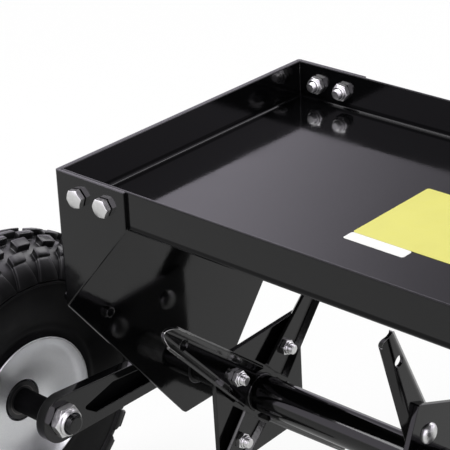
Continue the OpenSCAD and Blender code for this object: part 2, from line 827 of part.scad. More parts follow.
// Ribbed grip pushed over the lever's end
module lever_grip() {
    color("#101011") at_shaft() rotate([lever_turn, 0, 0])
        translate([lever_x, lever_l + grip_cap - grip_l, 0]) difference() {
            rotate([-90, 0, 0]) {
                cylinder(d = grip_d - 2 * grip_rib_h, h = grip_l);
                for (i = [0 : grip_ribs - 1])
                    translate([0, 0, grip_l * (i + 1 / 4) / grip_ribs])
                        cylinder(d = grip_d, h = grip_l / grip_ribs / 2);
            }
            translate([-lever_t / 2 - run_gap, -over, 0]) along_x(lever_t + 2 * run_gap) {
                translate([0, -lever_w / 2 - run_gap])
                    square([over + grip_l - grip_cap - lever_w / 2, lever_w + 2 * run_gap]);
                translate([over + grip_l - grip_cap - lever_w / 2, 0]) circle(lever_w / 2 + run_gap);
            }
        }
}

// Bolt through the quadrant's slot and the lever
module clamp_bolt() {
    length = quadrant_t + face_gap + lever_t + knob_h * knob_thread_share;
    color("#c9c9c6") at_shaft() rotate([lever_turn, 0, 0])
        translate([quadrant_x + quadrant_t + face_gap, quadrant_r, 0]) rotate([0, -90, 0])
            hex_bolt(clamp_d, clamp_af, clamp_head_h, length);
}

// Hand knob with lobes on the clamp bolt
module clamp_knob() {
    lobe_d = knob_d * knob_lobe_share;
    neck_h = knob_h * knob_neck_h_share;
    color("#101011") at_shaft() rotate([lever_turn, 0, 0])
        translate([clamp_x - face_gap, quadrant_r, 0]) rotate([0, -90, 0]) difference() {
            union() {
                cylinder(d = knob_d * knob_neck_share, h = knob_h);
                translate([0, 0, neck_h]) {
                    cylinder(d = knob_d - lobe_d, h = knob_h - neck_h);
                    for (i = [1 : knob_lobes])
                        rotate(i * 360 / knob_lobes) translate([(knob_d - lobe_d) / 2, 0])
                            cylinder(d = lobe_d, h = knob_h - neck_h, $fn = 24);
                }
            }
            translate([0, 0, -over])
                cylinder(r = clamp_d / 2 + run_gap, h = over + knob_h * knob_bore_share);
        }
}

// Wheels

// Moves a wheel drawn about X, with its inner side towards +X, to the left or right axle
module at_wheel(side) {
    translate([side * wheel_x, frame_y - arm_y, shaft_z - arm_drop])
        if (side < 0) children();
        else mirror([1, 0, 0]) children();
}

// Turns an outline of radius and axial place about the X axis
module turned() {
    rotate([0, 90, 0]) rotate_extrude($fn = 72) children();
}

// Axle bolt from outside through wheel, sleeve and arm
module axle_bolts() {
    length = wheel_out - hub_out - arm_out + axle_nut_h + axle_thread_out;
    color("#161617") for (side = sides) at_wheel(side) translate([hub_out - face_gap, 0, 0])
        rotate([0, 90, 0]) hex_bolt(axle_d, axle_af, axle_head_h, length);
}

module axle_nuts() {
    color("#cfcfcc") for (side = sides) at_wheel(side) translate([wheel_out - arm_out, 0, 0])
        rotate([0, 90, 0]) lock_nut(axle_d, axle_af, axle_nut_h);
}

// Sleeves between the wheels' inner bearings and the arms
module axle_sleeves() {
    color("#161617") for (side = sides) at_wheel(side) translate([hub_in + face_gap, 0, 0])
        tube_x(sleeve_d, axle_d + 2 * run_gap, sleeve_l);
}

// Section of the rim: lips, bead seats, drop centre and the dished disc
module rim_section() {
    lip = rim_w / 2;
    seat = lip - rim_lip_t - bead_t;
    half = [[lip_r, lip], [seat_r - rim_t, lip], [seat_r - rim_t, seat], [well_r - rim_t, well_half]];
    half_out = [[well_r, well_half], [seat_r, seat], [seat_r, lip - rim_lip_t], [lip_r, lip - rim_lip_t]];
    polygon(concat(half, [for (i = [len(half) - 1 : -1 : 0]) [half[i][0], -half[i][1]]],
        [for (i = [len(half_out) - 1 : -1 : 0]) [half_out[i][0], -half_out[i][1]]], half_out));
    disc_r = seat_r - rim_t / 2;
    polygon(rounded(
        [[wheel_hub_d / 2 - rim_t, disc_a], [disc_r, disc_a], [disc_r, lip - rim_lip_t],
            [disc_r - rim_t, lip - rim_lip_t], [disc_r - rim_t, disc_a + rim_t],
            [wheel_hub_d / 2 - rim_t, disc_a + rim_t]],
        [0, disc_round_r + rim_t, 0, 0, disc_round_r, 0]));
    translate([bearing_d / 2 + run_gap, hub_out])
        square([wheel_hub_d / 2 - bearing_d / 2 - run_gap, hub_in - hub_out]);
}

// Moves a valve that hangs down from zero to the outside of the rim's drop centre
module at_valve() {
    translate([0, 0, well_r + run_gap]) children();
}

module wheel_rim(side) {
    color("#a9abad") at_wheel(side) difference() {
        turned() rim_section();
        at_valve() translate([0, 0, -2 * rim_t]) cylinder(r = valve_d / 2 + run_gap, h = 3 * rim_t);
    }
}

module wheel_rim_left() {
    wheel_rim(-1);
}

module wheel_rim_right() {
    wheel_rim(1);
}

// One side of a tyre outline, from its bead to the crown
function tyre_side(bead_a, crown_r, half_w) = concat(
    [[bead_r, bead_a]],
    [for (i = [0 : wall_steps]) let (s = i / wall_steps)
        [wall_r + (belly_r - wall_r) * s, bead_a + (half_w - bead_a) * sin(90 * s)]],
    [for (i = [1 : crown_steps]) let (turn = 90 * i / crown_steps, high = crown_r - belly_r)
        [belly_r + high * pow(sin(turn), crown_share), half_w * pow(cos(turn), crown_share)]]);

// The same outline with its mirror image, from bead to bead
function tyre_outline(bead_a, crown_r, half_w) =
    let (side = tyre_side(bead_a, crown_r, half_w))
    concat(side, [for (i = [len(side) - 2 : -1 : 0]) [side[i][0], -side[i][1]]]);

// Section of the tyre under its lugs: a shell that is open towards the rim
module tyre_section() {
    outer = tyre_outline(bead_half, carcass_r, carcass_half);
    inner = tyre_outline(bead_half - bead_t, carcass_r - tyre_tread_t, carcass_half - tyre_wall_t);
    polygon(concat(outer, [for (i = [len(inner) - 1 : -1 : 0]) inner[i]]));
}

// Section of a row of lugs between two axial places, sunk halfway into the shell
module lug_section(low_r, from, to) {
    difference() {
        intersection() {
            polygon(tyre_outline(bead_half, tyre_d / 2, tyre_w / 2));
            translate([low_r, from]) square([tyre_d / 2 - low_r, to - from]);
        }
        polygon(tyre_outline(bead_half - bead_t / 2, carcass_r - tyre_tread_t / 2,
            carcass_half - tyre_wall_t / 2));
    }
}

// A ring of lugs that starts at a share of the pitch
module lug_ring(start_share, fill_share) {
    pitch = 360 / tyre_lugs;
    for (i = [1 : tyre_lugs])
        rotate([(i + start_share) * pitch, 0, 0]) rotate([0, 90, 0])
            rotate_extrude(angle = pitch * fill_share, $fn = 72) children();
}

module tyre(side) {
    edge = tyre_w / 2;
    color("#1e1e20") at_wheel(side) {
        turned() tyre_section();
        lug_ring(lug_start_share, shoulder_fill_share) lug_section(shoulder_r, edge * shoulder_share, edge);
        lug_ring(knob_start_share, knob_fill_share)
            lug_section(knob_low_r, edge * knob_in_share, edge * knob_out_share);
        lug_ring(lug_start_share, knob_fill_share)
            lug_section(knob_low_r, -edge * knob_out_share, -edge * knob_in_share);
        lug_ring(knob_start_share, shoulder_fill_share)
            lug_section(shoulder_r, -edge, -edge * shoulder_share);
    }
}

module tyre_left() {
    tyre(-1);
}

module tyre_right() {
    tyre(1);
}

// Two bearings in the wheel's hub tube
module wheel_bearings(side) {
    color("#303033") at_wheel(side) for (a = [hub_in - bearing_w, hub_out])
        translate([a, 0, 0]) tube_x(bearing_d, axle_d + 2 * run_gap, bearing_w);
}

module wheel_bearings_left() {
    wheel_bearings(-1);
}

module wheel_bearings_right() {
    wheel_bearings(1);
}

// Rubber valve stem with its foot inside the tyre and a cap on its end
module valve(side) {
    color("#141415") at_wheel(side) at_valve() {
        translate([0, 0, -valve_l]) cylinder(d = valve_d, h = valve_l + valve_foot_t);
        cylinder(d = valve_foot_d, h = valve_foot_t);
    }
}

module valve_left() {
    valve(-1);
}

module valve_right() {
    valve(1);
}

// Tine reels

// Moves a reel drawn about X to its place and turn on the shaft
module at_reel(k) {
    translate([reels[k] * reel_pitch, frame_y, shaft_z])
        rotate([reel_turn + k * reel_step, 0, 0]) children();
}

// Does the same at both ends of a reel: children see the plate's inner face at zero and the tines at +X
module at_both_plates() {
    translate([reel_plate_t - reel_l / 2, 0, 0]) children();
    translate([reel_l / 2 - reel_plate_t, 0, 0]) rotate([-reel_stagger, 0, 0]) mirror([1, 0, 0]) children();
}

// Does the same at each tine: the tine's length lies along +Y
module at_tines() {
    for (turn = tine_angles) rotate([turn, 0, 0]) children();
}

// Square plate with the tine bolts' holes
module reel_plate() {
    h = reel_plate_s / 2;
    difference() {
        translate([-reel_plate_t, 0, 0]) along_x(reel_plate_t)
            polygon(rounded([[-h, -h], [h, -h], [h, h], [-h, h]], [for (i = [1 : 4]) reel_plate_r]));
        at_tines() translate([-reel_plate_t - over, tine_bolt_r, 0])
            bar_x(bolt_d + 2 * hole_gap, reel_plate_t + 2 * over);
        translate([-reel_plate_t - over, 0, 0])
            bar_x(reel_tube_d - reel_tube_t, reel_plate_t + 2 * over);
    }
}

module reel(k) {
    bore = reel_tube_d - 2 * reel_tube_t;
    color("#18181a") at_reel(k) difference() {
        union() {
            at_both_plates() reel_plate();
            translate([-reel_l / 2, 0, 0]) bar_x(reel_tube_d, reel_l);
        }
        translate([-reel_l / 2 - over, 0, 0]) bar_x(bore, reel_l + 2 * over);
    }
}

module reel_1() {
    reel(0);
}

module reel_2() {
    reel(1);
}

module reel_3() {
    reel(2);
}

// Bushes at both ends of a reel's tube
module reel_bushes(k) {
    bore = reel_tube_d - 2 * reel_tube_t;
    color("#3a3a3d") at_reel(k) for (s = sides)
        translate([s * (reel_l - reel_bush_l) / 2 - reel_bush_l / 2, 0, 0])
            tube_x(bore - 2 * run_gap, shaft_d + 2 * run_gap, reel_bush_l);
}

module reel_bushes_1() {
    reel_bushes(0);
}

module reel_bushes_2() {
    reel_bushes(1);
}

module reel_bushes_3() {
    reel_bushes(2);
}

// Points along the bend of a tine, from the web to the leg
function tine_arc(r) = [for (i = [0 : tine_bend_steps])
    let (turn = tine_flare * i / tine_bend_steps) r * [sin(turn), -cos(turn)]];

// Section of one half of a tine: flared leg, bend and half of the web, with the leg's outside edge at zero
module tine_half_section() {
    r = tine_bend_r;
    leg = tine_leg * [cos(tine_flare), sin(tine_flare)];
    middle = [-r * sin(tine_flare) - leg[0], r];
    outside = tine_arc(r);
    inside = tine_arc(r - tine_t);
    polygon(concat(
        [[-tine_root_w, 0]],
        [for (p = outside) middle + p],
        [middle + outside[tine_bend_steps] + leg, middle + inside[tine_bend_steps] + leg],
        [for (i = [0 : tine_bend_steps]) middle + inside[tine_bend_steps - i]],
        [[-tine_root_w, tine_t]]));
}

// Tine: a trough with flared legs, flat at the bolt and round at its tip, with a hole for the core to leave
module tine() {
    length = tine_tip_r - tine_root_r;
    depth = tine_bend_r + tine_leg + tine_t;
    taper = atan((tine_root_w - tine_tip_w) / 2 / length);
    difference() {
        for (s = sides) scale([1, 1, s]) intersection() {
            translate([0, tine_root_r - over, tine_root_w / 2]) rotate([-taper, 0, 0])
                translate([0, length + 2 * over, 0]) rotate([90, 0, 0]) linear_extrude(length + 2 * over)
                    mirror([1, -1]) tine_half_section();
            translate([-over, tine_root_r, -tine_t / 4]) cube([depth + 2 * over, length, tine_root_w]);
        }
        translate([-over, tine_bolt_r, 0]) bar_x(bolt_d + 2 * hole_gap, tine_t + 2 * over);
        translate([-over, tine_hole_r, 0]) bar_x(tine_hole_d, depth + 2 * over);
        translate([-over, tine_tip_r - tine_tip_round, 0]) difference() {
            translate([0, 0, -tine_root_w]) cube([depth + 2 * over, length, 2 * tine_root_w]);
            translate([-over, 0, 0]) bar_x(2 * tine_tip_round, depth + 4 * over);
        }
    }
}

module tines(k) {
    color("#151517") at_reel(k) at_both_plates() at_tines() tine();
}

module tines_1() {
    tines(0);
}

module tines_2() {
    tines(1);
}

module tines_3() {
    tines(2);
}

// Coach bolts with low round heads on the outside of the reel plates
module tine_bolts(k) {
    ball_r = (dome_d * dome_d / 4 + dome_h * dome_h) / (2 * dome_h);
    color("#bdbdba") at_reel(k) at_both_plates() at_tines() translate([-reel_plate_t, tine_bolt_r, 0]) {
        translate([-dome_h, 0, 0]) rotate([0, 90, 0]) rotate_extrude() intersection() {
            translate([0, ball_r]) circle(ball_r);
            square([dome_d, dome_h]);
        }
        translate([-dome_h / 2, 0, 0])
            bar_x(bolt_d, dome_h / 2 + reel_plate_t + tine_t + nut_h + thread_out);
    }
}

module tine_bolts_1() {
    tine_bolts(0);
}

module tine_bolts_2() {
    tine_bolts(1);
}

module tine_bolts_3() {
    tine_bolts(2);
}

// Nuts in the tines' troughs
module tine_nuts(k) {
    color("#d0d0cd") at_reel(k) at_both_plates() at_tines() translate([tine_t, tine_bolt_r, 0])
        rotate([0, 90, 0]) rotate(30) lock_nut(bolt_d, bolt_af, nut_h);
}

module tine_nuts_1() {
    tine_nuts(0);
}

module tine_nuts_2() {
    tine_nuts(1);
}

module tine_nuts_3() {
    tine_nuts(2);
}

weight_tray();
end_plate_left();
end_plate_right();
tray_bolts();
frame_nuts();
shaft_bushes();
stop_bolts();
drawbar_left();
drawbar_right();
drawbar_bolts();
hitch_plate_top();
hitch_plate_bottom();
hitch_bolts();
hitch_nuts();
lever_quadrant();
main_shaft();
shaft_collars();
spacer_long();
spacers_short();
wheel_arm_left();
wheel_arm_right();
spring_pins();
lift_lever();
lever_grip();
clamp_bolt();
clamp_knob();
axle_bolts();
axle_nuts();
axle_sleeves();
wheel_rim_left();
wheel_rim_right();
tyre_left();
tyre_right();
wheel_bearings_left();
wheel_bearings_right();
valve_left();
valve_right();
reel_1();
reel_2();
reel_3();
reel_bushes_1();
reel_bushes_2();
reel_bushes_3();
tines_1();
tines_2();
tines_3();
tine_bolts_1();
tine_bolts_2();
tine_bolts_3();
tine_nuts_1();
tine_nuts_2();
tine_nuts_3();
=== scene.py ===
"""Looks of a tow behind aerator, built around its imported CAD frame.

The CAD nodes keep their shapes and get their finishes here. Tyres, rims, arm webs, fasteners, welds and the
blank sticker are modelled as finer pieces, and the stage holds floor, light and camera.
"""

import json
import math

import bmesh
import bpy
from bpy.props import FloatProperty, FloatVectorProperty, IntProperty, PointerProperty
from mathutils import Matrix, Vector


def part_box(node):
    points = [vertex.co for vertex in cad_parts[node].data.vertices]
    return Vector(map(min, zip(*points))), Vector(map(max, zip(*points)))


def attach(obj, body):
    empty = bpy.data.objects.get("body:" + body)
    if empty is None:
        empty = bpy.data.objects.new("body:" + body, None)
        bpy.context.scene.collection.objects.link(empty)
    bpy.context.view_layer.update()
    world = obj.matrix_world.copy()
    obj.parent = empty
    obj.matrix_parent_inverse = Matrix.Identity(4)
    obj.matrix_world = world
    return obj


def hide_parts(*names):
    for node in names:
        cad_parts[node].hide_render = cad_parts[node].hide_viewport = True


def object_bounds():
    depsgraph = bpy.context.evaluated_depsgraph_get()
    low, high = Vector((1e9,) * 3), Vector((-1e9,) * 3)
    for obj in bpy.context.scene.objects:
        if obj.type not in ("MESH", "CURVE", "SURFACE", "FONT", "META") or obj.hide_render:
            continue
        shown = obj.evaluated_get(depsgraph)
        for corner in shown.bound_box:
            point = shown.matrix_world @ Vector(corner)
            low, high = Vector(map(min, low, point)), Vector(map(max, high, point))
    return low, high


bl_info = {
    "name": "Tow Behind Aerator",
    "version": (1, 0, 0),
    "blender": (4, 5, 0),
    "location": "3D View > Sidebar > Aerator",
    "description": "Finishes and fine pieces of a tow behind plug aerator",
    "category": "Object",
}

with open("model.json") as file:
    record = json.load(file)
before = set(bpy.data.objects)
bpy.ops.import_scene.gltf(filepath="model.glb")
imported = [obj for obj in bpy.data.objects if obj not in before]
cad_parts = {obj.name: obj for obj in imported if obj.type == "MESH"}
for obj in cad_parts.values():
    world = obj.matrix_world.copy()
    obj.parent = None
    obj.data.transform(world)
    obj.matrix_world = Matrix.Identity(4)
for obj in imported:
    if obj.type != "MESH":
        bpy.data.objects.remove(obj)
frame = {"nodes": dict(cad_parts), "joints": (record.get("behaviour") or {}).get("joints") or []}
CAD_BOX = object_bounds()
NODES = frame["nodes"]
JOINTS = {j["name"]: j for j in frame["joints"]}
SHAFT = Vector(JOINTS["wheel_lift"]["pos_m"])
AXLES = {s: Vector(JOINTS[f"wheel_{s}_spin"]["pos_m"]) for s in ("left", "right")}
REELS = {k: Vector(JOINTS[f"reel_{k}_spin"]["pos_m"]) for k in (1, 2, 3)}
TRAY_LOW, TRAY_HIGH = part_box("weight_tray")
TRAY_SHEET = 0.002
TRAY_FLOOR = TRAY_LOW.z + TRAY_SHEET

# Lugs on each half of the tread, a row each: span in degrees from the side to the crown, share of the pitch
# that a lug fills, shift as a share of the pitch, taper towards the crown, depth below the tyre's radius.
LUG_ROWS = (
    ((15, 45), 0.88, 0.0, 0.45, 0.0022),
    ((44, 56), 0.54, 0.0, 0.0, 0.0),
    ((62, 75), 0.52, 0.5, 0.0, 0.0),
    ((81, 89.4), 0.56, 0.0, 0.0, 0.0),
)
# Ridges of the tyre's side wall: beside the rim by step of the wall, under the ribs by turn in degrees.
RIM_RIDGE = {1: 0.0008, 2: 0.0014, 3: 0.0014, 4: 0.0004}
RIB_RIDGE = ((4, 0), (8, 0), (10.5, 0), (11.2, 0.0013), (13.2, 0.0015), (14, 0))
# Corners of the rim's flared lip and of its other lip: axial place and radius, each from the rim's edge.
FLARED_LIP = ((0.0024, -0.0010), (0.0034, -0.0013), (0.0036, -0.0022), (0.0012, -0.0050), (-0.0010, -0.0071))
PLAIN_LIP = ((0.0, -0.0006), (0.0014, 0.0), (0.0028, -0.0006))
# Corners of a wheel arm's window: share of the way from the axle to the shaft, height over that way.
WINDOW_CORNERS = ((0.15, 0.002), (0.28, -0.0135), (0.82, -0.0180), (0.82, 0.0040), (0.46, 0.0085))
# Lamps: name, place from the machine's middle, diameter, power.
LAMPS = (
    ("key", (-1.6, -1.4, 2.6), 2.2, 62),
    ("fill", (2.6, -1.2, 1.8), 2.0, 22),
    ("back", (-0.4, 2.8, 2.2), 2.4, 34),
)
# The photograph's camera: focal length and width in pixels, place from the tray's near left top corner,
# and the ways in which the picture's right, its foot and its depth point.
PHOTO_FOCAL, PHOTO_WIDTH = 1767.824, 450
PHOTO_PLACE = Vector((0.863235, -0.772025, 0.506786))
PHOTO_RIGHT = Vector((0.74956984, 0.66088088, -0.03716878))
PHOTO_DOWN = Vector((0.26271834, -0.34857535, -0.89970790))
PHOTO_AHEAD = Vector((-0.60755587, 0.66462898, -0.43490710))


def length(name, text, default):
    """A length that the user can set, in metres."""
    return FloatProperty(name=name, description=text, default=default, min=0.0, unit="LENGTH",
                         precision=5)


def colour(name, text, default):
    """A colour that the user can set."""
    return FloatVectorProperty(name=name, description=text, default=default, size=3, min=0, max=1,
                               subtype="COLOR")


class AeratorSizes(bpy.types.PropertyGroup):
    """Sizes of the fine pieces"""

    sheet_round: length("Sheet edge round", "Round of the painted sheet edges", 0.0011)
    steel_round: length("Steel edge round", "Round of nuts, bolts and turned edges", 0.0004)
    lug_round: length("Lug round", "Round of the tread lugs' edges", 0.0009)
    lug_height: length("Lug height", "Height of the tread lugs", 0.006)
    lugs: IntProperty(name="Lugs", description="Lugs in each row of the tread", default=30, min=8)
    tyre_radius: length("Tyre radius", "Radius of the tyre over its lugs", 0.1355)
    tyre_half_width: length("Tyre half width", "Half of the tyre's width", 0.040)
    bead_radius: length("Bead radius", "Radius of the tyre's bead", 0.0508)
    bead_half_width: length("Bead half width", "Half of the distance over the beads", 0.03195)
    bead_face: length("Bead face", "Height of the flat beside the rim", 0.0083)
    casing: length("Casing", "Thickness of the tyre's casing at the crown", 0.008)
    tread_start: length("Tread start", "Radius where the dull side wall ends", 0.108)
    tread_full: length("Tread full", "Radius where the tread is at its shiniest", 0.128)
    rim_sheet: length("Rim sheet", "Thickness of the rims' sheet", 0.0025)
    rim_lip: length("Rim lip", "Height of the rims' lips over the bead seat", 0.0082)
    dish_depth: length("Dish depth", "Depth of the rims' dish", 0.010)
    hub_inset: length("Hub inset", "Distance of the hub's face from the rim's side", 0.0124)
    hub_radius: length("Hub radius", "Radius of the wheel hubs", 0.019)
    hub_bore: length("Hub bore", "Radius of the wheel hubs' bores", 0.0178)
    web_thickness: length("Web thickness", "Thickness of the webs in the wheel arms", 0.002)
    thread_pitch: length("Thread pitch", "Pitch of the small bolts' threads", 0.00125)
    small_shank: length("Small shank", "Diameter of the small bolts", 0.008)
    small_flats: length("Small flats", "Width of the small heads and nuts over their flats", 0.013)
    small_head: length("Small head", "Height of the small bolts' heads", 0.0046)
    tine_nut_flats: length("Tine nut flats", "Width of the tines' nuts over their flats", 0.0118)
    dome_radius: length("Dome radius", "Radius of the coach bolts' heads", 0.0084)
    dome_height: length("Dome height", "Height of the coach bolts' domes", 0.0044)
    axle_pitch: length("Axle pitch", "Pitch of the axle bolts' threads", 0.002)
    axle_shank: length("Axle shank", "Diameter of the axle bolts", 0.016)
    axle_flats: length("Axle flats", "Width of the axle heads and nuts over their flats", 0.024)
    axle_head: length("Axle head", "Height of the axle bolts' heads", 0.010)
    # The tines' bare edge band near the tips is partly wear and partly a painted edge highlight.
    tine_wear_start: length("Tine wear start", "Reach from a reel's axis where the tines' wear starts", 0.116)
    tine_wear_full: length("Tine wear full", "Reach from a reel's axis where the tines are worn", 0.126)
    weld_radius: length("Weld radius", "Radius of the weld beads", 0.0013)
    tube_radius: length("Tube radius", "Radius of the reels' tubes", 0.015)
    boss_radius: length("Boss radius", "Radius of the bosses on the shaft", 0.017)
    sticker_length: length("Sticker length", "Length of the blank sticker", 0.152)
    sticker_width: length("Sticker width", "Width of the blank sticker", 0.089)
    sticker_thickness: length("Sticker thickness", "Thickness of the blank sticker", 0.00018)


class AeratorColours(bpy.types.PropertyGroup):
    """Colours of the finishes"""

    paint: colour("Paint", "Gloss black powder coat", (0.0022, 0.0022, 0.0025))
    zinc: colour("Zinc", "Bright zinc plate", (0.88, 0.88, 0.87))
    steel: colour("Steel", "Bare rolled steel", (0.62, 0.62, 0.61))
    silver: colour("Silver", "Silver paint of the wheels", (0.92, 0.93, 0.96))
    rubber: colour("Rubber", "Tyre rubber", (0.007, 0.007, 0.0074))
    plastic: colour("Plastic", "Black plastic of grip, knob and bushes", (0.011, 0.011, 0.012))
    nylon: colour("Nylon", "Locking rings of the nuts", (0.02, 0.022, 0.03))
    sticker: colour("Sticker", "Field of the blank sticker", (0.755, 0.72, 0.16))
    paper: colour("Paper", "Strip of the blank sticker", (0.93, 0.93, 0.91))


# Finishes


class ShaderTree:
    """Short ways to add nodes to a node tree."""

    def __init__(self, tree):
        self.tree = tree

    def node(self, kind, **values):
        made = self.tree.nodes.new(kind)
        for key, value in values.items():
            setattr(made, key, value)
        return made

    def link(self, out, into):
        self.tree.links.new(out, into)

    def math(self, operation, a, b=None, clamp=False):
        """A math node on two sockets or numbers; returns its output."""
        made = self.node("ShaderNodeMath", operation=operation, use_clamp=clamp)
        for socket, value in zip(made.inputs, (a, b)):
            if value is None:
                continue
            if isinstance(value, (int, float)):
                socket.default_value = value
            else:
                self.link(value, socket)
        return made.outputs[0]

    def between(self, value, low, high, to_low=0.0, to_high=1.0, smooth=True):
        """Maps a socket from one range to another, clamped."""
        made = self.node("ShaderNodeMapRange", interpolation_type="SMOOTHSTEP" if smooth else "LINEAR")
        self.link(value, made.inputs["Value"])
        ends = {"From Min": low, "From Max": high, "To Min": to_low, "To Max": to_high}
        for socket, number in ends.items():
            made.inputs[socket].default_value = number
        return made.outputs["Result"]

    def axes(self, place):
        """The X, Y and Z outputs of a vector."""
        parts = self.node("ShaderNodeSeparateXYZ")
        self.link(place, parts.inputs[0])
        return parts.outputs

    def chosen(self, factor, first, second):
        """A mix of two shaders by a socket or a number; returns its output."""
        made = self.node("ShaderNodeMixShader")
        if isinstance(factor, float):
            made.inputs["Fac"].default_value = factor
        else:
            self.link(factor, made.inputs["Fac"])
        self.link(first, made.inputs[1])
        self.link(second, made.inputs[2])
        return made.outputs[0]


class Finish(ShaderTree):
    """A material with a Principled shader and short ways to colour it."""

    def __init__(self, name, base, roughness, metallic=0.0, ior=1.5):
        self.material = bpy.data.materials.new(name)
        self.material.use_nodes = True
        super().__init__(self.material.node_tree)
        self.shader = self.tree.nodes["Principled BSDF"]
        self.shader.inputs["Base Color"].default_value = (*base, 1)
        self.shader.inputs["Roughness"].default_value = roughness
        self.shader.inputs["Metallic"].default_value = metallic
        self.shader.inputs["IOR"].default_value = ior
        self.base = base
        self.place = self.node("ShaderNodeTexCoord").outputs["Object"]

    def stretched(self, scale, centre=(0, 0, 0)):
        """Object coordinates that are moved to a centre and stretched."""
        made = self.node("ShaderNodeMapping")
        made.inputs["Location"].default_value = [-c * s for c, s in zip(centre, scale)]
        made.inputs["Scale"].default_value = scale
        self.link(self.place, made.inputs["Vector"])
        return made.outputs["Vector"]

    def radius_from(self, centre):
        """Distance from the X axis through a centre."""
        _, y, z = self.axes(self.stretched((0, 1, 1), centre))
        squares = [self.math("MULTIPLY", part, part) for part in (y, z)]
        return self.math("SQRT", self.math("ADD", *squares))

    def noise(self, scale, detail, place=None):
        made = self.node("ShaderNodeTexNoise")
        made.inputs["Scale"].default_value = scale
        made.inputs["Detail"].default_value = detail
        self.link(place or self.place, made.inputs["Vector"])
        return made.outputs["Fac"]

    def mixed(self, factor, a, b):
        """Mixes two colours, each a socket or three numbers."""
        made = self.node("ShaderNodeMix", data_type="RGBA")
        self.link(factor, made.inputs["Factor"])
        for socket, value in zip((made.inputs[6], made.inputs[7]), (a, b)):
            if isinstance(value, (tuple, list)):
                socket.default_value = (*value, 1)
            else:
                self.link(value, socket)
        return made.outputs[2]

    def shade(self, amount, factor):
        """The base colour, made darker and lighter by a share."""
        dark = tuple(c * (1 - amount) for c in self.base)
        light = tuple(min(1, c * (1 + amount)) for c in self.base)
        return self.mixed(factor, dark, light)

    def edges(self, reach, low, high):
        """A mask of the edges: how far the rounded normal leans away from the true one."""
        edge = self.node("ShaderNodeBevel", samples=8)
        edge.inputs["Radius"].default_value = reach
        lean = self.node("ShaderNodeVectorMath", operation="DOT_PRODUCT")
        self.link(edge.outputs["Normal"], lean.inputs[0])
        self.link(self.node("ShaderNodeNewGeometry").outputs["True Normal"], lean.inputs[1])
        return self.between(self.math("SUBTRACT", 1.0, lean.outputs["Value"]), low, high)

    def colour_from(self, socket):
        self.link(socket, self.shader.inputs["Base Color"])

    def rough_from(self, socket):
        self.link(socket, self.shader.inputs["Roughness"])

    def metal_from(self, socket):
        self.link(socket, self.shader.inputs["Metallic"])

    def gloss_from(self, socket):
        self.link(socket, self.shader.inputs["Specular IOR Level"])

    def relief(self, height, strength, distance, edge_round=0.0):
        """Bump from a height, over edges that are rounded in the shading."""
        bump = self.node("ShaderNodeBump")
        bump.inputs["Strength"].default_value = strength
        bump.inputs["Distance"].default_value = distance
        self.link(height, bump.inputs["Height"])
        if edge_round:
            edge = self.node("ShaderNodeBevel", samples=6)
            edge.inputs["Radius"].default_value = edge_round
            self.link(edge.outputs["Normal"], bump.inputs["Normal"])
        self.link(bump.outputs["Normal"], self.shader.inputs["Normal"])


def powder_coat(name, colours, sizes):
    """Gloss black powder coat: orange peel, slight unevenness of tone and gloss."""
    f = Finish(name, tuple(colours.paint), 0.09)
    f.colour_from(f.shade(0.35, f.noise(9, 4)))
    f.rough_from(f.between(f.noise(26, 3), 0.3, 0.7, 0.055, 0.115))
    f.relief(f.noise(420, 1), 0.05, 0.0003, sizes.sheet_round)
    return f


def tray_coat(name, colours, sizes):
    """Powder coat of the tray, duller on the cut edges and in the bends."""
    f = powder_coat(name, colours, sizes)
    height = f.axes(f.place)["Z"]
    edge_start, edge_full = TRAY_HIGH.z - 0.0009, TRAY_HIGH.z - 0.0003
    bend_low, bend_high, bend_fade = TRAY_FLOOR + 0.0001, TRAY_FLOOR + 0.0035, 0.0015
    rising = f.between(height, bend_low, bend_low + bend_fade / 5)
    falling = f.between(height, bend_high + bend_fade, bend_high)
    dull = f.math("MAXIMUM", f.between(height, edge_start, edge_full), f.math("MULTIPLY", rising, falling))
    f.gloss_from(f.between(dull, 0, 1, 0.5, 0.16))
    return f


def ground_tine(name, colours, sizes, reel):
    """Powder coat of the tines, worn to bare steel along the edges of their ends, which also paints their
    highlights.
    """
    f = powder_coat(name, colours, sizes)
    near_tip = f.between(f.radius_from(reel), sizes.tine_wear_start, sizes.tine_wear_full)
    worn = f.between(f.noise(260, 4), 0.28, 0.50)
    # Bare worn steel at the edges near the tips, which also paints the bright highlights of the cut edges.
    edges = f.math("MULTIPLY", f.edges(sizes.sheet_round, 0.03, 0.16), near_tip)
    mask = f.math("MULTIPLY", edges, worn, clamp=True)
    bare_steel_and_highlight = (0.46, 0.46, 0.45)
    f.colour_from(f.mixed(mask, f.shade(0.35, f.noise(9, 4)), bare_steel_and_highlight))
    f.metal_from(mask)
    f.rough_from(f.between(mask, 0.0, 1.0, 0.085, 0.34, smooth=False))
    return f


def zinc_plate(name, colours, sizes):
    """Bright zinc plate with a faint cloudiness and fine drawing marks."""
    f = Finish(name, tuple(colours.zinc), 0.34, metallic=1.0)
    f.colour_from(f.shade(0.10, f.noise(160, 4)))
    f.rough_from(f.between(f.noise(420, 3), 0.3, 0.7, 0.28, 0.42))
    f.relief(f.noise(1600, 2), 0.06, 0.0001, sizes.steel_round)
    return f


def rolled_steel(name, colours, sizes):
    """Bare steel bar with drawing streaks along X."""
    f = Finish(name, tuple(colours.steel), 0.48, metallic=0.3)
    streaks = f.noise(60, 4, f.stretched((0.4, 14, 14)))
    blots = f.noise(150, 4)
    f.colour_from(f.shade(0.45, f.between(f.math("ADD", streaks, blots), 0.7, 1.3)))
    f.rough_from(f.between(f.noise(90, 3), 0.3, 0.7, 0.40, 0.56))
    f.relief(streaks, 0.12, 0.0002, sizes.steel_round)
    return f


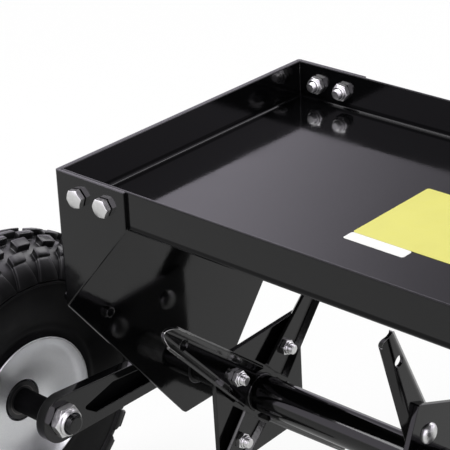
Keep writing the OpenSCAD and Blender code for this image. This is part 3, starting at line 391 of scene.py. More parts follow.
def silver_paint(name, colours, sizes):
    """Silver wheel paint: satin with a fine fleck."""
    f = Finish(name, tuple(colours.silver), 0.32, metallic=0.9)
    fleck = f.noise(2600, 2)
    f.colour_from(f.shade(0.07, f.between(fleck, 0.35, 0.65)))
    f.rough_from(f.between(f.noise(40, 3), 0.3, 0.7, 0.32, 0.42))
    f.relief(f.noise(700, 2), 0.04, 0.0002, sizes.steel_round * 2)
    return f


def tyre_rubber(name, colours, sizes, axle):
    """Rubber with a dull side wall and a shinier, handled tread."""
    f = Finish(name, tuple(colours.rubber), 0.43)
    tread = f.between(f.radius_from(axle), sizes.tread_start, sizes.tread_full)
    deep_black = (0.0025, 0.0025, 0.0028)
    f.colour_from(f.mixed(f.between(f.noise(22, 5), 0.35, 0.75), deep_black, f.base))
    f.gloss_from(f.between(tread, 0, 1, 0.20, 0.75))
    dull = f.between(f.noise(60, 4), 0.3, 0.7, 0.42, 0.56)
    f.rough_from(f.math("SUBTRACT", dull, f.math("MULTIPLY", tread, 0.16)))
    f.relief(f.noise(900, 3), 0.16, 0.0003, sizes.lug_round)
    return f


def moulded_plastic(name, colours, sizes):
    """Black plastic with a fine moulded grain."""
    f = Finish(name, tuple(colours.plastic), 0.5, ior=1.46)
    f.colour_from(f.shade(0.3, f.noise(40, 3)))
    f.rough_from(f.between(f.noise(120, 2), 0.3, 0.7, 0.42, 0.58))
    f.relief(f.noise(1500, 2), 0.22, 0.0002, sizes.steel_round)
    return f


def bearing_seal(name, colours, sizes, axle):
    """Black bearing with a thin bright line round its seal."""
    f = Finish(name, tuple(colours.plastic), 0.4)
    radius = f.radius_from(axle)
    line_in, line_out, fade = 0.0118, 0.0125, 0.0001
    inside = f.between(radius, line_in - fade, line_in + fade)
    ring = f.math("MULTIPLY", inside, f.between(radius, line_out + fade, line_out - fade))
    dark_steel = (0.16, 0.15, 0.145)
    f.colour_from(f.mixed(ring, f.shade(0.3, f.noise(80, 3)), dark_steel))
    f.metal_from(ring)
    f.rough_from(f.between(f.noise(200, 2), 0.3, 0.7, 0.30, 0.48))
    f.relief(f.noise(900, 2), 0.08, 0.0002, sizes.steel_round)
    return f


def nylon_ring(name, colours, sizes):
    """Locking ring of a nut."""
    f = Finish(name, tuple(colours.nylon), 0.45)
    f.colour_from(f.shade(0.25, f.noise(300, 3)))
    f.relief(f.noise(1400, 2), 0.1, 0.0001)
    return f


def printed_film(name, base):
    """Blank printed film with a fine tooth and slight fading."""
    f = Finish(name, tuple(base), 0.34)
    f.colour_from(f.shade(0.05, f.noise(30, 4)))
    f.rough_from(f.between(f.noise(90, 2), 0.3, 0.7, 0.28, 0.40))
    f.relief(f.noise(1200, 2), 0.06, 0.0001)
    return f


def recess_shade_coat(name, colours, sizes):
    """Dull black with little gloss: painted shade in the deep recesses, and the sleeves' own dull black."""
    f = Finish(name, tuple(colours.paint), 0.6, ior=1.12)
    f.colour_from(f.shade(0.6, f.noise(180, 5)))
    f.rough_from(f.between(f.noise(90, 3), 0.3, 0.7, 0.5, 0.7))
    f.relief(f.noise(300, 4), 0.35, 0.0006)
    return f


def finish_of(name, maker, *more):
    """The material of that name, made on its first use."""
    found = bpy.data.materials.get(name)
    if found:
        return found
    scene = bpy.context.scene
    return maker(name, scene.aerator_colours, scene.aerator_sizes, *more).material


def paint():
    return finish_of("black_powder_coat", powder_coat)


def zinc():
    return finish_of("zinc_plate", zinc_plate)


def steel():
    return finish_of("rolled_steel", rolled_steel)


def plastic():
    return finish_of("black_plastic", moulded_plastic)


def dull_black():
    return finish_of("thin_black_coat", recess_shade_coat)


def rubber(side):
    return finish_of(f"tyre_rubber_{side}", tyre_rubber, AXLES[side])


def nylon():
    return finish_of("nylon_ring", nylon_ring)


def silver():
    return finish_of("silver_paint", silver_paint)


# Modelling


def dress(node, material):
    """Gives a CAD node one material."""
    mesh = NODES[node].data
    mesh.materials.clear()
    mesh.materials.append(material)


def node_solids(node):
    """Low and high corners of each separate solid of a CAD node."""
    bm = bmesh.new()
    bm.from_mesh(NODES[node].data)
    bmesh.ops.remove_doubles(bm, verts=bm.verts, dist=1e-6)
    left, boxes = set(bm.verts), []
    while left:
        todo, part = [left.pop()], []
        while todo:
            vert = todo.pop()
            part.append(vert.co.copy())
            for edge in vert.link_edges:
                other = edge.other_vert(vert)
                if other in left:
                    left.remove(other)
                    todo.append(other)
        boxes.append((Vector(map(min, zip(*part))), Vector(map(max, zip(*part)))))
    bm.free()
    return sorted(boxes, key=lambda b: tuple(round(v, 4) for v in b[0]))


def add_piece(name, bm, body, materials, replaced=(), smooth=35):
    """Makes a piece from a bmesh in place, smooth except at sharp edges, and lets it ride on a body."""
    mesh = bpy.data.meshes.new(name)
    for face in bm.faces:
        face.smooth = True
    for edge in bm.edges:
        edge.smooth = len(edge.link_faces) != 2 or edge.calc_face_angle(0) < math.radians(smooth)
    bm.to_mesh(mesh)
    bm.free()
    for material in materials:
        mesh.materials.append(material)
    piece = bpy.data.objects.new(name, mesh)
    bpy.context.scene.collection.objects.link(piece)
    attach(piece, body)
    if replaced:
        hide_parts(*replaced)


def turned(bm, profile, steps, closed=False):
    """Spins an (axial, radius) profile about the X axis; returns the new faces."""
    before = set(bm.faces)
    verts = [bm.verts.new((a, r, 0)) for a, r in profile]
    pairs = list(zip(verts, verts[1:])) + ([(verts[-1], verts[0])] if closed else [])
    edges = [bm.edges.new(pair) for pair in pairs]
    bmesh.ops.spin(bm, geom=verts + edges, cent=(0, 0, 0), axis=(1, 0, 0), dvec=(0, 0, 0),
                   angle=math.tau, steps=steps, use_merge=True, use_duplicate=False)
    bmesh.ops.remove_doubles(bm, verts=bm.verts, dist=1e-7)
    faces = [f for f in bm.faces if f not in before]
    bmesh.ops.recalc_face_normals(bm, faces=faces)
    return faces


def new_verts(grown):
    """The vertices in what an extrude returns."""
    return [g for g in grown["geom"] if isinstance(g, bmesh.types.BMVert)]


def hex_prism(bm, start, end, flats, chamfer_start, chamfer_end):
    """Hexagon along X whose corners are turned off at one or both ends; returns its faces."""
    before = set(bm.faces)
    chamfer_reach, face_reach, slope = flats / 2 * 0.97, flats / 2 * 0.95, 0.55
    ring = bmesh.ops.create_circle(bm, cap_ends=False, radius=flats / 2, segments=36)["verts"]
    for vert in ring:
        turn = math.atan2(vert.co.y, vert.co.x)
        vert.co.xy *= 1 / math.cos(turn % (math.pi / 3) - math.pi / 6)
    bmesh.ops.rotate(bm, verts=ring, cent=(0, 0, 0), matrix=Matrix.Rotation(math.pi / 2, 3, "Y"))
    loop = list({e for v in ring for e in v.link_edges})

    def drop(vert, on):
        """How far the turned corner lies below the end face."""
        reach = math.hypot(vert.co.y, vert.co.z)
        return max(0.0, reach - chamfer_reach) * slope if on else 0.0

    top = new_verts(bmesh.ops.extrude_edge_only(bm, edges=loop))
    for vert in ring:
        vert.co.x = start + drop(vert, chamfer_start)
    for vert in top:
        vert.co.x = end - drop(vert, chamfer_end)
    for verts, place in ((ring, start), (top, end)):
        rim = [e for v in verts for e in v.link_edges if all(w in verts for w in e.verts)]
        inner = bmesh.ops.extrude_edge_only(bm, edges=list(set(rim)))
        inner_verts = new_verts(inner)
        for vert in inner_verts:
            reach = math.hypot(vert.co.y, vert.co.z)
            vert.co.y *= face_reach / reach
            vert.co.z *= face_reach / reach
            vert.co.x = place
        edges = [g for g in inner["geom"] if isinstance(g, bmesh.types.BMEdge)]
        bmesh.ops.contextual_create(bm, geom=[e for e in edges if all(w in inner_verts for w in e.verts)])
    faces = [f for f in bm.faces if f not in before]
    bmesh.ops.recalc_face_normals(bm, faces=faces)
    return faces


def thread_profile(start, end, radius, pitch):
    """Zigzag of a thread from start to end, with a turned-off end."""
    count = max(1, int(abs(end - start) / pitch))
    step = (end - start) / count
    root = radius - 0.61 * pitch
    points = []
    for i in range(count):
        for share, reach in ((0.0, root), (0.42, radius), (0.58, radius)):
            points.append((start + step * (i + share), reach))
    points += [(end - step * 0.2, root), (end, root * 0.95), (end, 0.0)]
    return points


def place_along(bm, faces, origin, axis, turn):
    """Turns faces drawn along +X onto an axis and moves them to their place."""
    verts = list({v for f in faces for v in f.verts})
    spin = Matrix.Rotation(turn, 4, "X")
    aim = Vector((1, 0, 0)).rotation_difference(axis).to_matrix().to_4x4()
    bmesh.ops.transform(bm, matrix=Matrix.Translation(origin) @ aim @ spin, verts=verts)


def hex_bolt(bm, seat, axis, shank, total, flats, head, pitch, turn):
    """Hexagon bolt with its head's seat at a point and its shank along an axis."""
    radius, sunk, plain = shank / 2, -head * 0.08, total * 0.45
    faces = hex_prism(bm, -head, 0.0, flats, True, False)
    profile = [(sunk, 0.0), (sunk, radius), (plain, radius)]
    faces += turned(bm, profile + thread_profile(plain, total, radius, pitch), 24)
    place_along(bm, faces, seat, axis, turn)


def lock_nut(bm, seat, axis, shank, flats, height):
    """Lock nut with a turned hexagon, a round collar and a nylon ring."""
    ring = flats * 0.46
    hexagon = height * 0.66
    faces = hex_prism(bm, 0.0, hexagon, flats, True, True)
    collar = [(hexagon * 0.9, ring), (height * 0.88, ring), (height * 0.97, ring * 0.93),
              (height, ring * 0.84), (height, shank * 0.60), (height * 0.82, shank * 0.56)]
    faces += turned(bm, collar, 28)
    insert = [(height * 0.96, shank * 0.62), (height * 0.955, shank * 0.52), (height * 0.7, shank * 0.50)]
    nylon_faces = turned(bm, insert, 24)
    for face in nylon_faces:
        face.material_index = 1
    turn = (seat.x * 41 + seat.y * 67 + seat.z * 29) * 5
    place_along(bm, faces + nylon_faces, seat, axis, turn)


def short_axis(low, high):
    """The main axis along which a box is shortest."""
    size = high - low
    k = min(range(3), key=lambda i: size[i])
    return Vector([1.0 if i == k else 0.0 for i in range(3)])


def inward(offset):
    """The way along X from a point back to the middle that its offset counts from."""
    return Vector((1.0 if offset.x < 0 else -1.0, 0, 0))


def put_on_axle(bm, side, axle):
    """Moves a left wheel's mesh drawn at the origin to its axle, mirrored for the right wheel."""
    flip = Matrix.Scale(-1, 4, (1, 0, 0)) if side == "right" else Matrix.Identity(4)
    bmesh.ops.transform(bm, matrix=Matrix.Translation(axle) @ flip, verts=bm.verts)


# Operators


class AERATOR_OT_paint_frame(bpy.types.Operator):
    """Give every CAD node its finish"""

    bl_idname = "aerator.paint_frame"
    bl_label = "Paint Frame"

    def execute(self, context):
        painted = ["end_plate_left", "end_plate_right", "drawbar_left", "drawbar_right",
                   "hitch_plate_top", "hitch_plate_bottom", "lever_quadrant", "spacer_long", "spacers_short",
                   "wheel_arm_left", "wheel_arm_right", "lift_lever", "axle_bolts",
                   "shaft_collars", "stop_bolts", "reel_1", "reel_2", "reel_3"]
        for node in painted:
            dress(node, paint())
        for k, reel in REELS.items():
            dress(f"tines_{k}", finish_of(f"ground_tine_{k}", ground_tine, reel))
            dress(f"tine_bolts_{k}", zinc())
            dress(f"tine_nuts_{k}", zinc())
            dress(f"reel_bushes_{k}", plastic())
        for node in ("main_shaft", "spring_pins"):
            dress(node, steel())
        for node in ("tray_bolts", "frame_nuts", "drawbar_bolts", "hitch_bolts", "hitch_nuts",
                     "clamp_bolt", "axle_nuts"):
            dress(node, zinc())
        for node in ("shaft_bushes", "lever_grip", "clamp_knob"):
            dress(node, plastic())
        dress("weight_tray", finish_of("tray_powder_coat", tray_coat))
        dress("axle_sleeves", dull_black())
        for side, axle in AXLES.items():
            dress(f"wheel_rim_{side}", silver())
            dress(f"wheel_bearings_{side}", finish_of(f"bearing_seal_{side}", bearing_seal, axle))
            dress(f"tyre_{side}", rubber(side))
            dress(f"valve_{side}", rubber(side))
        return {"FINISHED"}


class AERATOR_OT_tyres(bpy.types.Operator):
    """Model both tyres: ridged side walls, shoulder ribs and staggered knobs"""

    bl_idname = "aerator.tyres"
    bl_label = "Tyres"

    def execute(self, context):
        sizes = context.scene.aerator_sizes
        for side, axle in AXLES.items():
            bm = bmesh.new()
            self.shell(bm, sizes)
            for way in (1, -1):
                lead = 0.25 if way > 0 else 0.75
                for span, fill, shift, taper, sunk in LUG_ROWS:
                    self.row(bm, sizes, way, span, fill, lead + shift, taper, sunk)
            put_on_axle(bm, side, axle)
            if side == "right":
                bmesh.ops.reverse_faces(bm, faces=bm.faces)
            add_piece(f"tyre_{side}_tread", bm, f"wheel_{side}", [rubber(side)],
                      [f"tyre_{side}"], 40)
        return {"FINISHED"}

    @staticmethod
    def outline(sizes, turn, sunk):
        """Axial place and radius of the tyre's crown at a turn, sunk below the lugs' tops."""
        belly_share = 0.52
        belly = sizes.bead_radius + (sizes.tyre_radius - sizes.bead_radius) * belly_share
        high = sizes.tyre_radius - sunk - belly
        return ((sizes.tyre_half_width - sunk / 2) * math.cos(math.radians(turn)),
                belly + high * math.sin(math.radians(turn)))

    def shell(self, bm, sizes):
        """The casing with ridges at the rim and under the ribs."""
        sunk, bead, steps = sizes.lug_height, sizes.bead_half_width, 18
        wall = sizes.bead_radius + sizes.bead_face
        belly_a, belly_r = self.outline(sizes, 0, sunk)
        side = [(bead, sizes.bead_radius), (bead, wall)]
        for i in range(1, steps + 1):
            share = i / steps
            axial = bead + (belly_a - bead) * math.sin(share * math.pi / 2)
            side.append((axial + RIM_RIDGE.get(i, 0.0), wall + (belly_r - wall) * share))
        for turn, ridge in (*RIB_RIDGE, *((t, 0) for t in range(20, 91, 7))):
            axial, radius = self.outline(sizes, turn, sunk)
            side.append((axial + ridge, radius + ridge * 0.3))
        depth, inner_share = sizes.tyre_radius - sizes.bead_radius, 0.82
        inner = [(a * inner_share, r - sizes.casing * (r - sizes.bead_radius) / depth) for a, r in side]
        half = side + [(0.0, sizes.tyre_radius - sunk)]
        back = [(-a, r) for a, r in reversed(side)]
        profile = half + back + [(-a, r) for a, r in inner] + [(a, r) for a, r in reversed(inner)]
        turned(bm, profile, 120, closed=True)

    def row(self, bm, sizes, way, span, fill, start, taper, sunk):
        """One row of lugs round the tyre: a block with rounded edges that may narrow towards the crown."""
        low, high = span
        made = bmesh.new()
        root_share, step = 1.3, 5
        count = max(2, round((high - low) / step))
        turns = [low + (high - low) * i / count for i in range(count + 1)]
        outside = [self.outline(sizes, t, sunk) for t in turns]
        inside = [self.outline(sizes, t, sizes.lug_height * root_share) for t in reversed(turns)]
        verts = [made.verts.new((a * way, r, 0)) for a, r in outside + inside]
        face = made.faces.new(verts)
        pitch = math.tau / sizes.lugs
        bmesh.ops.spin(made, geom=[face], cent=(0, 0, 0), axis=(1, 0, 0), dvec=(0, 0, 0),
                       angle=pitch * fill, steps=3, use_merge=False, use_duplicate=False)
        first, last = outside[0][1], outside[-1][1]
        for vert in made.verts:
            reach = math.hypot(vert.co.y, vert.co.z)
            share = min(1.0, max(0.0, (reach - first) / (last - first)))
            off = math.atan2(vert.co.z, vert.co.y) - pitch * fill / 2
            turn = off * (1 - taper * share)
            vert.co = (vert.co.x, reach * math.cos(turn), reach * math.sin(turn))
        bmesh.ops.recalc_face_normals(made, faces=made.faces)
        least = math.radians(38)
        sharp = [e for e in made.edges if len(e.link_faces) == 2 and e.calc_face_angle(0) > least]
        bmesh.ops.bevel(made, geom=sharp, offset=sizes.lug_round, offset_type="OFFSET", segments=2,
                        profile=0.5, affect="EDGES", material=-1, clamp_overlap=True)
        block = bpy.data.meshes.new("lug")
        made.to_mesh(block)
        made.free()
        for i in range(sizes.lugs):
            before = set(bm.verts)
            bm.from_mesh(block)
            bmesh.ops.rotate(bm, verts=[v for v in bm.verts if v not in before], cent=(0, 0, 0),
                             matrix=Matrix.Rotation((i + start) * pitch, 3, "X"))
        bpy.data.meshes.remove(block)


class AERATOR_OT_rims(bpy.types.Operator):
    """Model the rims with flared lips and a dish down to the hub"""

    bl_idname = "aerator.rims"
    bl_label = "Rims"

    def execute(self, context):
        sizes = context.scene.aerator_sizes
        for side, axle in AXLES.items():
            low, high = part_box(f"wheel_rim_{side}")
            bm = bmesh.new()
            turned(bm, self.section(sizes, (high.x - low.x) / 2, (high.z - low.z) / 2), 96, closed=True)
            put_on_axle(bm, side, axle)
            bmesh.ops.recalc_face_normals(bm, faces=bm.faces)
            add_piece(f"wheel_rim_{side}_spun", bm, f"wheel_{side}", [silver()],
                      [f"wheel_rim_{side}"])
        return {"FINISHED"}

    @staticmethod
    def section(sizes, half, lip):
        """Closed section: flared lip, dish down to the hub, hub, back of the dish, plain lip and barrel."""
        hub, bore, seat = sizes.hub_radius, sizes.hub_bore, lip - sizes.rim_lip
        hub_face, under_bead = half - sizes.hub_inset, seat - 0.0001
        turn_in, lip_width, ramp, toe, toe_rise = 0.0035, 0.0030, 0.0050, 0.0026, 0.0012
        edge = [(half + a, lip + r) for a, r in FLARED_LIP]
        steps, curve, dish = 20, 2.6, []
        for i in range(steps + 1):
            share = i / steps
            dish.append((hub_face + sizes.dish_depth * (1 - share) ** curve, seat + (hub - seat) * share))
        core = [(hub_face, bore), (-half, bore), (-half, hub)]
        back = [(a - sizes.rim_sheet * 1.1, r) for a, r in reversed(dish[2:])]
        far_side = [(-half + turn_in, seat - sizes.rim_sheet), (-half, seat)]
        far_side += [(-half + a, lip + r) for a, r in PLAIN_LIP]
        barrel = [(-half + lip_width, under_bead), (half - ramp, under_bead), (half - toe, seat + toe_rise)]
        return edge + dish + core + back + far_side + barrel


class AERATOR_OT_arm_webs(bpy.types.Operator):
    """Close the wheel arms' windows at the back with thin webs"""

    bl_idname = "aerator.arm_webs"
    bl_label = "Arm Webs"

    def execute(self, context):
        thick, inset = context.scene.aerator_sizes.web_thickness, 0.0006
        bm = bmesh.new()
        for side, axle in AXLES.items():
            low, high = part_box(f"wheel_arm_{side}")
            way = 1 if side == "left" else -1
            back = low.x if side == "left" else high.x
            run = SHAFT - axle
            ring = []
            for share, rise in WINDOW_CORNERS:
                corner = axle + run * share
                ring.append(bm.verts.new((back + way * inset, corner.y, corner.z + rise)))
            grown = bmesh.ops.extrude_face_region(bm, geom=[bm.faces.new(ring)])
            bmesh.ops.translate(bm, vec=(way * thick, 0, 0), verts=new_verts(grown))
        bmesh.ops.recalc_face_normals(bm, faces=bm.faces)
        # The webs' dull black paints the shade deep in the arms' pockets.
        add_piece("wheel_arm_webs", bm, "lift", [dull_black()])
        return {"FINISHED"}


class AERATOR_OT_small_bolts(bpy.types.Operator):
    """Model the frame's small bolts and lock nuts"""

    bl_idname = "aerator.small_bolts"
    bl_label = "Small Bolts"

    def execute(self, context):
        sizes = context.scene.aerator_sizes
        shank, flats, head = sizes.small_shank, sizes.small_flats, sizes.small_head
        first_turn, more_turn = 18, 5
        for node in ("tray_bolts", "drawbar_bolts", "hitch_bolts"):
            bm = bmesh.new()
            for i, (low, high) in enumerate(node_solids(node)):
                axis = self.shank_axis(node, low, high)
                half = abs((high - low).dot(axis)) / 2
                seat = (low + high) / 2 - axis * (half - head)
                turn = math.radians(first_turn + more_turn * i)
                hex_bolt(bm, seat, axis, shank, 2 * half - head, flats, head, sizes.thread_pitch, turn)
            add_piece(f"{node}_turned", bm, "frame", [zinc()], [node])
        for node in ("frame_nuts", "hitch_nuts"):
            bm = bmesh.new()
            for low, high in node_solids(node):
                axis = self.nut_axis(low, high)
                half = abs((high - low).dot(axis)) / 2
                before = set(bm.faces)
                lock_nut(bm, (low + high) / 2 - axis * half, axis, shank, flats, 2 * half)
                if axis.x:
                    for face in set(bm.faces) - before:
                        face.material_index = 2
            add_piece(f"{node}_turned", bm, "frame", [zinc(), nylon(), paint()], [node])
        return {"FINISHED"}

    @staticmethod
    def shank_axis(node, low, high):
        """The way from a bolt's head along its shank."""
        if node != "tray_bolts":
            return Vector((0, 0, -1))
        return Vector((0, 1.0 if (low.y + high.y) / 2 < SHAFT.y else -1.0, 0))

    @staticmethod
    def nut_axis(low, high):
        """The way from a nut's seat to its collar."""
        axis = short_axis(low, high)
        middle = (low + high) / 2
        if axis.z:
            return -axis
        if axis.y:
            return axis if middle.y < SHAFT.y else -axis
        return axis if middle.x > 0 else -axis


class AERATOR_OT_tine_bolts(bpy.types.Operator):
    """Model the tines' coach bolts and lock nuts"""

    bl_idname = "aerator.tine_bolts"
    bl_label = "Tine Bolts"

    def execute(self, context):
        for k, reel in REELS.items():
            self.bolts(context.scene.aerator_sizes, k, reel)
            self.nuts(context.scene.aerator_sizes, k, reel)
        return {"FINISHED"}

    @staticmethod
    def bolts(sizes, k, reel):
        """The coach bolts of a reel: a dome, its straight edge, a plain shank and a thread."""
        under, edge, radius = 0.0050, sizes.dome_radius - 0.0002, sizes.small_shank / 2
        angles = [i * math.pi / 16 for i in range(9)]
        dome = [(sizes.dome_height * (1 - math.cos(a)), sizes.dome_radius * math.sin(a)) for a in angles]
        bm = bmesh.new()
        for low, high in node_solids(f"tine_bolts_{k}"):
            middle = (low + high) / 2
            axis = inward(middle - reel)
            total = high.x - low.x
            plain = total * 0.55
            profile = dome + [(under, edge), (under, radius), (plain, radius)]
            faces = turned(bm, profile + thread_profile(plain, total, radius, sizes.thread_pitch), 28)
            start = Vector((low.x if axis.x > 0 else high.x, middle.y, middle.z))
            place_along(bm, faces, start, axis, 0.0)
        bmesh.ops.recalc_face_normals(bm, faces=bm.faces)
        add_piece(f"tine_bolts_{k}_turned", bm, f"reel_{k}", [zinc()], [f"tine_bolts_{k}"])

    @staticmethod
    def nuts(sizes, k, reel):
        """The lock nuts of a reel, a little lower than the space that the solids keep for them."""
        bore, height_share = 0.0075, 0.86
        bm = bmesh.new()
        for low, high in node_solids(f"tine_nuts_{k}"):
            middle = (low + high) / 2
            axis = inward(middle - reel)
            total = high.x - low.x
            seat = middle - axis * total / 2
            lock_nut(bm, seat, axis, bore, sizes.tine_nut_flats, total * height_share)
        add_piece(f"tine_nuts_{k}_turned", bm, f"reel_{k}", [zinc(), nylon()],
                  [f"tine_nuts_{k}"])


class AERATOR_OT_axle_hardware(bpy.types.Operator):
    """Model the wheels' axle bolts and large lock nuts"""

    bl_idname = "aerator.axle_hardware"
    bl_label = "Axle Hardware"

    def execute(self, context):
        sizes = context.scene.aerator_sizes
        shank, flats, head = sizes.axle_shank, sizes.axle_flats, sizes.axle_head
        bolts, nuts = bmesh.new(), bmesh.new()
        for low, high in node_solids("axle_bolts"):
            middle, half = (low + high) / 2, (high.x - low.x) / 2
            axis = inward(middle)
            seat = middle - axis * (half - head)
            hex_bolt(bolts, seat, axis, shank, 2 * half - head, flats, head, sizes.axle_pitch, 0.0)
        for low, high in node_solids("axle_nuts"):
            middle, half = (low + high) / 2, (high.x - low.x) / 2
            axis = inward(middle)
            lock_nut(nuts, middle - axis * half, axis, shank, flats, 2 * half)
        add_piece("axle_bolts_turned", bolts, "lift", [paint()], ["axle_bolts"])
        add_piece("axle_nuts_turned", nuts, "lift", [zinc(), nylon()], ["axle_nuts"])
        return {"FINISHED"}


class AERATOR_OT_welds(bpy.types.Operator):
    """Lay weld beads round the reel tubes, the lever's boss and the arms' bosses"""

    bl_idname = "aerator.welds"
    bl_label = "Welds"

    def execute(self, context):
        sizes = context.scene.aerator_sizes
        reel_plate, arm_plate, lever_half = 0.004, 0.009, 0.004
        for k, reel in REELS.items():
            bm = bmesh.new()
            low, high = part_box(f"reel_{k}")
            for x in (low.x + reel_plate, high.x - reel_plate):
                self.bead(bm, Vector((x, reel.y, reel.z)), sizes.tube_radius, sizes.weld_radius)
            add_piece(f"reel_{k}_welds", bm, f"reel_{k}", [paint()], smooth=80)
        lever_low, lever_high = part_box("lift_lever")
        lever = (lever_low.x + lever_high.x) / 2
        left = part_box("wheel_arm_left")[0].x + arm_plate
        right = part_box("wheel_arm_right")[1].x - arm_plate
        bm = bmesh.new()
        for x in (left, right, lever - lever_half, lever + lever_half):
            self.bead(bm, Vector((x, SHAFT.y, SHAFT.z)), sizes.boss_radius, sizes.weld_radius)
        add_piece("lift_welds", bm, "lift", [paint()], smooth=80)
        return {"FINISHED"}

    @staticmethod
    def bead(bm, centre, radius, size):
        """A rippled ring of weld about the X axis."""
        before = set(bm.verts)
        sides, ripples = 10, 11
        angles = [i * math.tau / sides for i in range(sides)]
        profile = [(size * math.cos(a), radius + size * 0.9 * math.sin(a)) for a in angles]
        turned(bm, profile, 72, closed=True)
        for vert in (v for v in bm.verts if v not in before):
            angle = math.atan2(vert.co.z, vert.co.y)
            swell = 1 + 0.22 * abs(math.sin(angle * ripples)) - 0.12
            vert.co.x *= swell
            reach = math.hypot(vert.co.y, vert.co.z)
            scale = (radius + (reach - radius) * swell) / reach
            vert.co.y *= scale
            vert.co.z *= scale
            vert.co += centre


class AERATOR_OT_sticker(bpy.types.Operator):
    """Lay the blank sticker on the tray's floor"""

    bl_idname = "aerator.sticker"
    bl_label = "Blank Sticker"

    def execute(self, context):
        sizes, colours = context.scene.aerator_sizes, context.scene.aerator_colours
        from_left, from_near = 0.1915, 0.0925
        corner = Vector((TRAY_LOW.x + from_left, TRAY_LOW.y + from_near, TRAY_FLOOR))
        field = self.patch(corner, sizes.sticker_length, sizes.sticker_width, sizes)
        film = printed_film("sticker_field", colours.sticker).material
        add_piece("sticker_field", field, "frame", [film])
        strip_width, strip_step, strip_share = 0.0112, 0.0115, 0.335
        strip_corner = corner - Vector((0, strip_step, 0))
        strip = self.patch(strip_corner, sizes.sticker_length * strip_share, strip_width, sizes)
        paper = printed_film("sticker_strip", colours.paper).material
        add_piece("sticker_strip", strip, "frame", [paper])
        return {"FINISHED"}

    @staticmethod
    def patch(corner, long, wide, sizes):
        """A thin sheet with rounded corners that lies flat on the floor."""
        thickness, corner_round = sizes.sticker_thickness, 0.002
        middle = corner + Vector((long / 2, wide / 2, thickness / 3))
        bm = bmesh.new()
        bmesh.ops.create_grid(bm, x_segments=1, y_segments=1, size=0.5)
        bmesh.ops.scale(bm, vec=(long, wide, 1), verts=bm.verts)
        bmesh.ops.translate(bm, vec=middle, verts=bm.verts)
        bmesh.ops.bevel(bm, geom=bm.verts[:], offset=corner_round, offset_type="OFFSET", segments=4,
                        profile=0.5, affect="VERTICES", material=-1, clamp_overlap=True)
        grown = bmesh.ops.extrude_face_region(bm, geom=bm.faces[:])
        bmesh.ops.translate(bm, vec=(0, 0, thickness), verts=new_verts(grown))
        bmesh.ops.recalc_face_normals(bm, faces=bm.faces)
        return bm


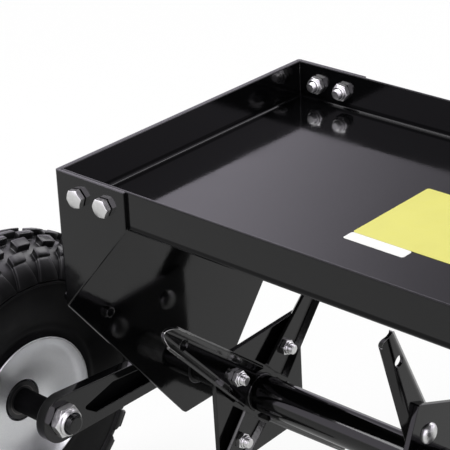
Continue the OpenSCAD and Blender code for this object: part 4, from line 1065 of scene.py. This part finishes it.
class AERATOR_OT_stage(bpy.types.Operator):
    """Set floor, light and camera"""

    bl_idname = "aerator.stage"
    bl_label = "Stage"

    def execute(self, context):
        scene = context.scene
        scene.view_settings.view_transform = "Standard"
        self.floor(scene)
        self.world(scene)
        self.lamps(scene)
        self.camera(scene)
        return {"FINISHED"}

    def floor(self, scene):
        """A wide white floor just under the wheels."""
        reach, drop = 14, 0.0005
        bm = bmesh.new()
        bmesh.ops.create_grid(bm, x_segments=8, y_segments=8, size=reach)
        bmesh.ops.translate(bm, vec=(0, 0, CAD_BOX[0].z - drop), verts=bm.verts)
        mesh = bpy.data.meshes.new("studio_floor")
        bm.to_mesh(mesh)
        bm.free()
        mesh.materials.append(self.floor_material())
        floor = bpy.data.objects.new("studio_floor", mesh)
        scene.collection.objects.link(floor)

    def floor_material(self):
        """White to the camera with a part of the shadow, grey in the mirror of the gloss coat."""
        material = bpy.data.materials.new("studio_floor")
        material.use_nodes = True
        n = ShaderTree(material.node_tree)
        n.tree.nodes.clear()
        path = n.node("ShaderNodeLightPath").outputs
        matt = n.node("ShaderNodeBsdfDiffuse")
        matt.inputs["Color"].default_value = (0.80, 0.80, 0.80, 1)
        white = n.node("ShaderNodeEmission")
        white.inputs["Strength"].default_value = 1.04
        grey = n.node("ShaderNodeEmission")
        n.link(self.shaded_glow(n), grey.inputs["Strength"])
        whiteness = 0.82
        for_camera = n.chosen(whiteness, matt.outputs[0], white.outputs[0])
        others = n.chosen(path["Is Glossy Ray"], matt.outputs[0], grey.outputs[0])
        seen = n.chosen(path["Is Camera Ray"], others, for_camera)
        n.link(seen, n.node("ShaderNodeOutputMaterial").inputs["Surface"])
        return material

    @staticmethod
    def shaded_glow(n):
        """Floor as mirrored: dark in the wheels' shade, as bright as the studio towards the horizon."""
        shade_from, shade_to, shade_depth = (0.42, 0.48), (0.56, 0.70), 0.6
        shade_half, glow_reach, glow_ends = (0.10, 0.24), (1.6, 6.0), (0.60, 1.1)
        place = n.node("ShaderNodeTexCoord").outputs["Object"]
        away = n.node("ShaderNodeVectorMath", operation="LENGTH")
        n.link(place, away.inputs[0])
        x, y, _ = n.axes(place)
        along = n.math("ABSOLUTE", x)
        across = n.math("ABSOLUTE", n.math("SUBTRACT", y, SHAFT.y))
        rising = n.between(along, *shade_from, 0.0, shade_depth)
        beside = n.math("MULTIPLY", rising, n.between(along, *shade_to, 1.0, 0.0))
        shade = n.math("MULTIPLY", beside, n.between(across, *shade_half, 1.0, 0.0))
        glow = n.between(away.outputs["Value"], *glow_reach, *glow_ends)
        return n.math("MULTIPLY", glow, n.math("SUBTRACT", 1.0, shade))

    def world(self, scene):
        """Soft light for the matt surfaces, a brighter studio in the mirror, white to the camera."""
        scene.world = bpy.data.worlds.new("studio")
        scene.world.use_nodes = True
        n = ShaderTree(scene.world.node_tree)
        n.tree.nodes.clear()
        path = n.node("ShaderNodeLightPath").outputs
        soft = n.node("ShaderNodeBackground")
        soft.inputs["Strength"].default_value = 0.55
        white = n.node("ShaderNodeBackground")
        white.inputs["Color"].default_value = (1, 1, 1, 1)
        mirrored = n.node("ShaderNodeBackground")
        mirrored.inputs["Color"].default_value = (1.0, 0.945, 1.07, 1)
        n.link(self.flag(n), mirrored.inputs["Strength"])
        others = n.chosen(path["Is Glossy Ray"], soft.outputs[0], mirrored.outputs[0])
        seen = n.chosen(path["Is Camera Ray"], others, white.outputs[0])
        n.link(seen, n.node("ShaderNodeOutputWorld").inputs["Surface"])

    @staticmethod
    def flag(n):
        """Strength of the mirrored studio, darker behind a flag that stands beside the main light."""
        turn, rise = math.radians(105), math.radians(24)
        flag_edge, open_studio, behind_flag = (0.895, 0.962), 1.32, 0.42
        near = n.node("ShaderNodeVectorMath", operation="DOT_PRODUCT")
        near.inputs[1].default_value = (math.cos(rise) * math.cos(turn), math.cos(rise) * math.sin(turn),
                                        math.sin(rise))
        n.link(n.node("ShaderNodeTexCoord").outputs["Generated"], near.inputs[0])
        return n.between(near.outputs["Value"], *flag_edge, open_studio, behind_flag)

    def lamps(self, scene):
        """Soft round lamps that all point at the machine."""
        lamp_aim = 0.25
        middle = Vector((0, SHAFT.y, lamp_aim))
        for name, place, size, energy in LAMPS:
            data = bpy.data.lights.new(name, "AREA")
            data.shape = "DISK"
            data.size = size
            data.energy = energy
            lamp = bpy.data.objects.new(name, data)
            lamp.location = middle + Vector(place)
            lamp.rotation_mode = "QUATERNION"
            lamp.rotation_quaternion = (middle - lamp.location).to_track_quat("-Z", "Y")
            scene.collection.objects.link(lamp)

    def camera(self, scene):
        """The photograph's view, placed from the tray's corner."""
        data = bpy.data.cameras.new("photo_view")
        data.sensor_width = 36.0
        data.lens = PHOTO_FOCAL / PHOTO_WIDTH * data.sensor_width
        data.clip_start, data.clip_end = 0.05, 60
        camera = bpy.data.objects.new("photo_view", data)
        corner = Vector((TRAY_LOW.x, TRAY_LOW.y, TRAY_HIGH.z))
        turn = Matrix((PHOTO_RIGHT, -PHOTO_DOWN, -PHOTO_AHEAD)).transposed().to_4x4()
        camera.matrix_world = Matrix.Translation(corner + PHOTO_PLACE) @ turn
        scene.collection.objects.link(camera)
        scene.camera = camera


class AERATOR_PT_panel(bpy.types.Panel):
    """Sizes, colours and steps of the aerator"""

    bl_idname = "AERATOR_PT_panel"
    bl_label = "Aerator"
    bl_space_type = "VIEW_3D"
    bl_region_type = "UI"
    bl_category = "Aerator"

    def draw(self, context):
        layout = self.layout
        for group in (context.scene.aerator_sizes, context.scene.aerator_colours):
            box = layout.box()
            for name in group.__annotations__:
                box.prop(group, name)
        for step in STEPS:
            layout.operator(step.bl_idname)


STEPS = (
    AERATOR_OT_paint_frame,
    AERATOR_OT_tyres,
    AERATOR_OT_rims,
    AERATOR_OT_arm_webs,
    AERATOR_OT_small_bolts,
    AERATOR_OT_tine_bolts,
    AERATOR_OT_axle_hardware,
    AERATOR_OT_welds,
    AERATOR_OT_sticker,
    AERATOR_OT_stage,
)
CLASSES = (AeratorSizes, AeratorColours, *STEPS, AERATOR_PT_panel)


def register():
    for cls in CLASSES:
        bpy.utils.register_class(cls)
    bpy.types.Scene.aerator_sizes = PointerProperty(type=AeratorSizes)
    bpy.types.Scene.aerator_colours = PointerProperty(type=AeratorColours)


def unregister():
    del bpy.types.Scene.aerator_colours
    del bpy.types.Scene.aerator_sizes
    for cls in reversed(CLASSES):
        bpy.utils.unregister_class(cls)


def main():
    register()
    bpy.ops.aerator.paint_frame()
    bpy.ops.aerator.tyres()
    bpy.ops.aerator.rims()
    bpy.ops.aerator.arm_webs()
    bpy.ops.aerator.small_bolts()
    bpy.ops.aerator.tine_bolts()
    bpy.ops.aerator.axle_hardware()
    bpy.ops.aerator.welds()
    bpy.ops.aerator.sticker()
    bpy.ops.aerator.stage()


if __name__ == "__main__":
    main()
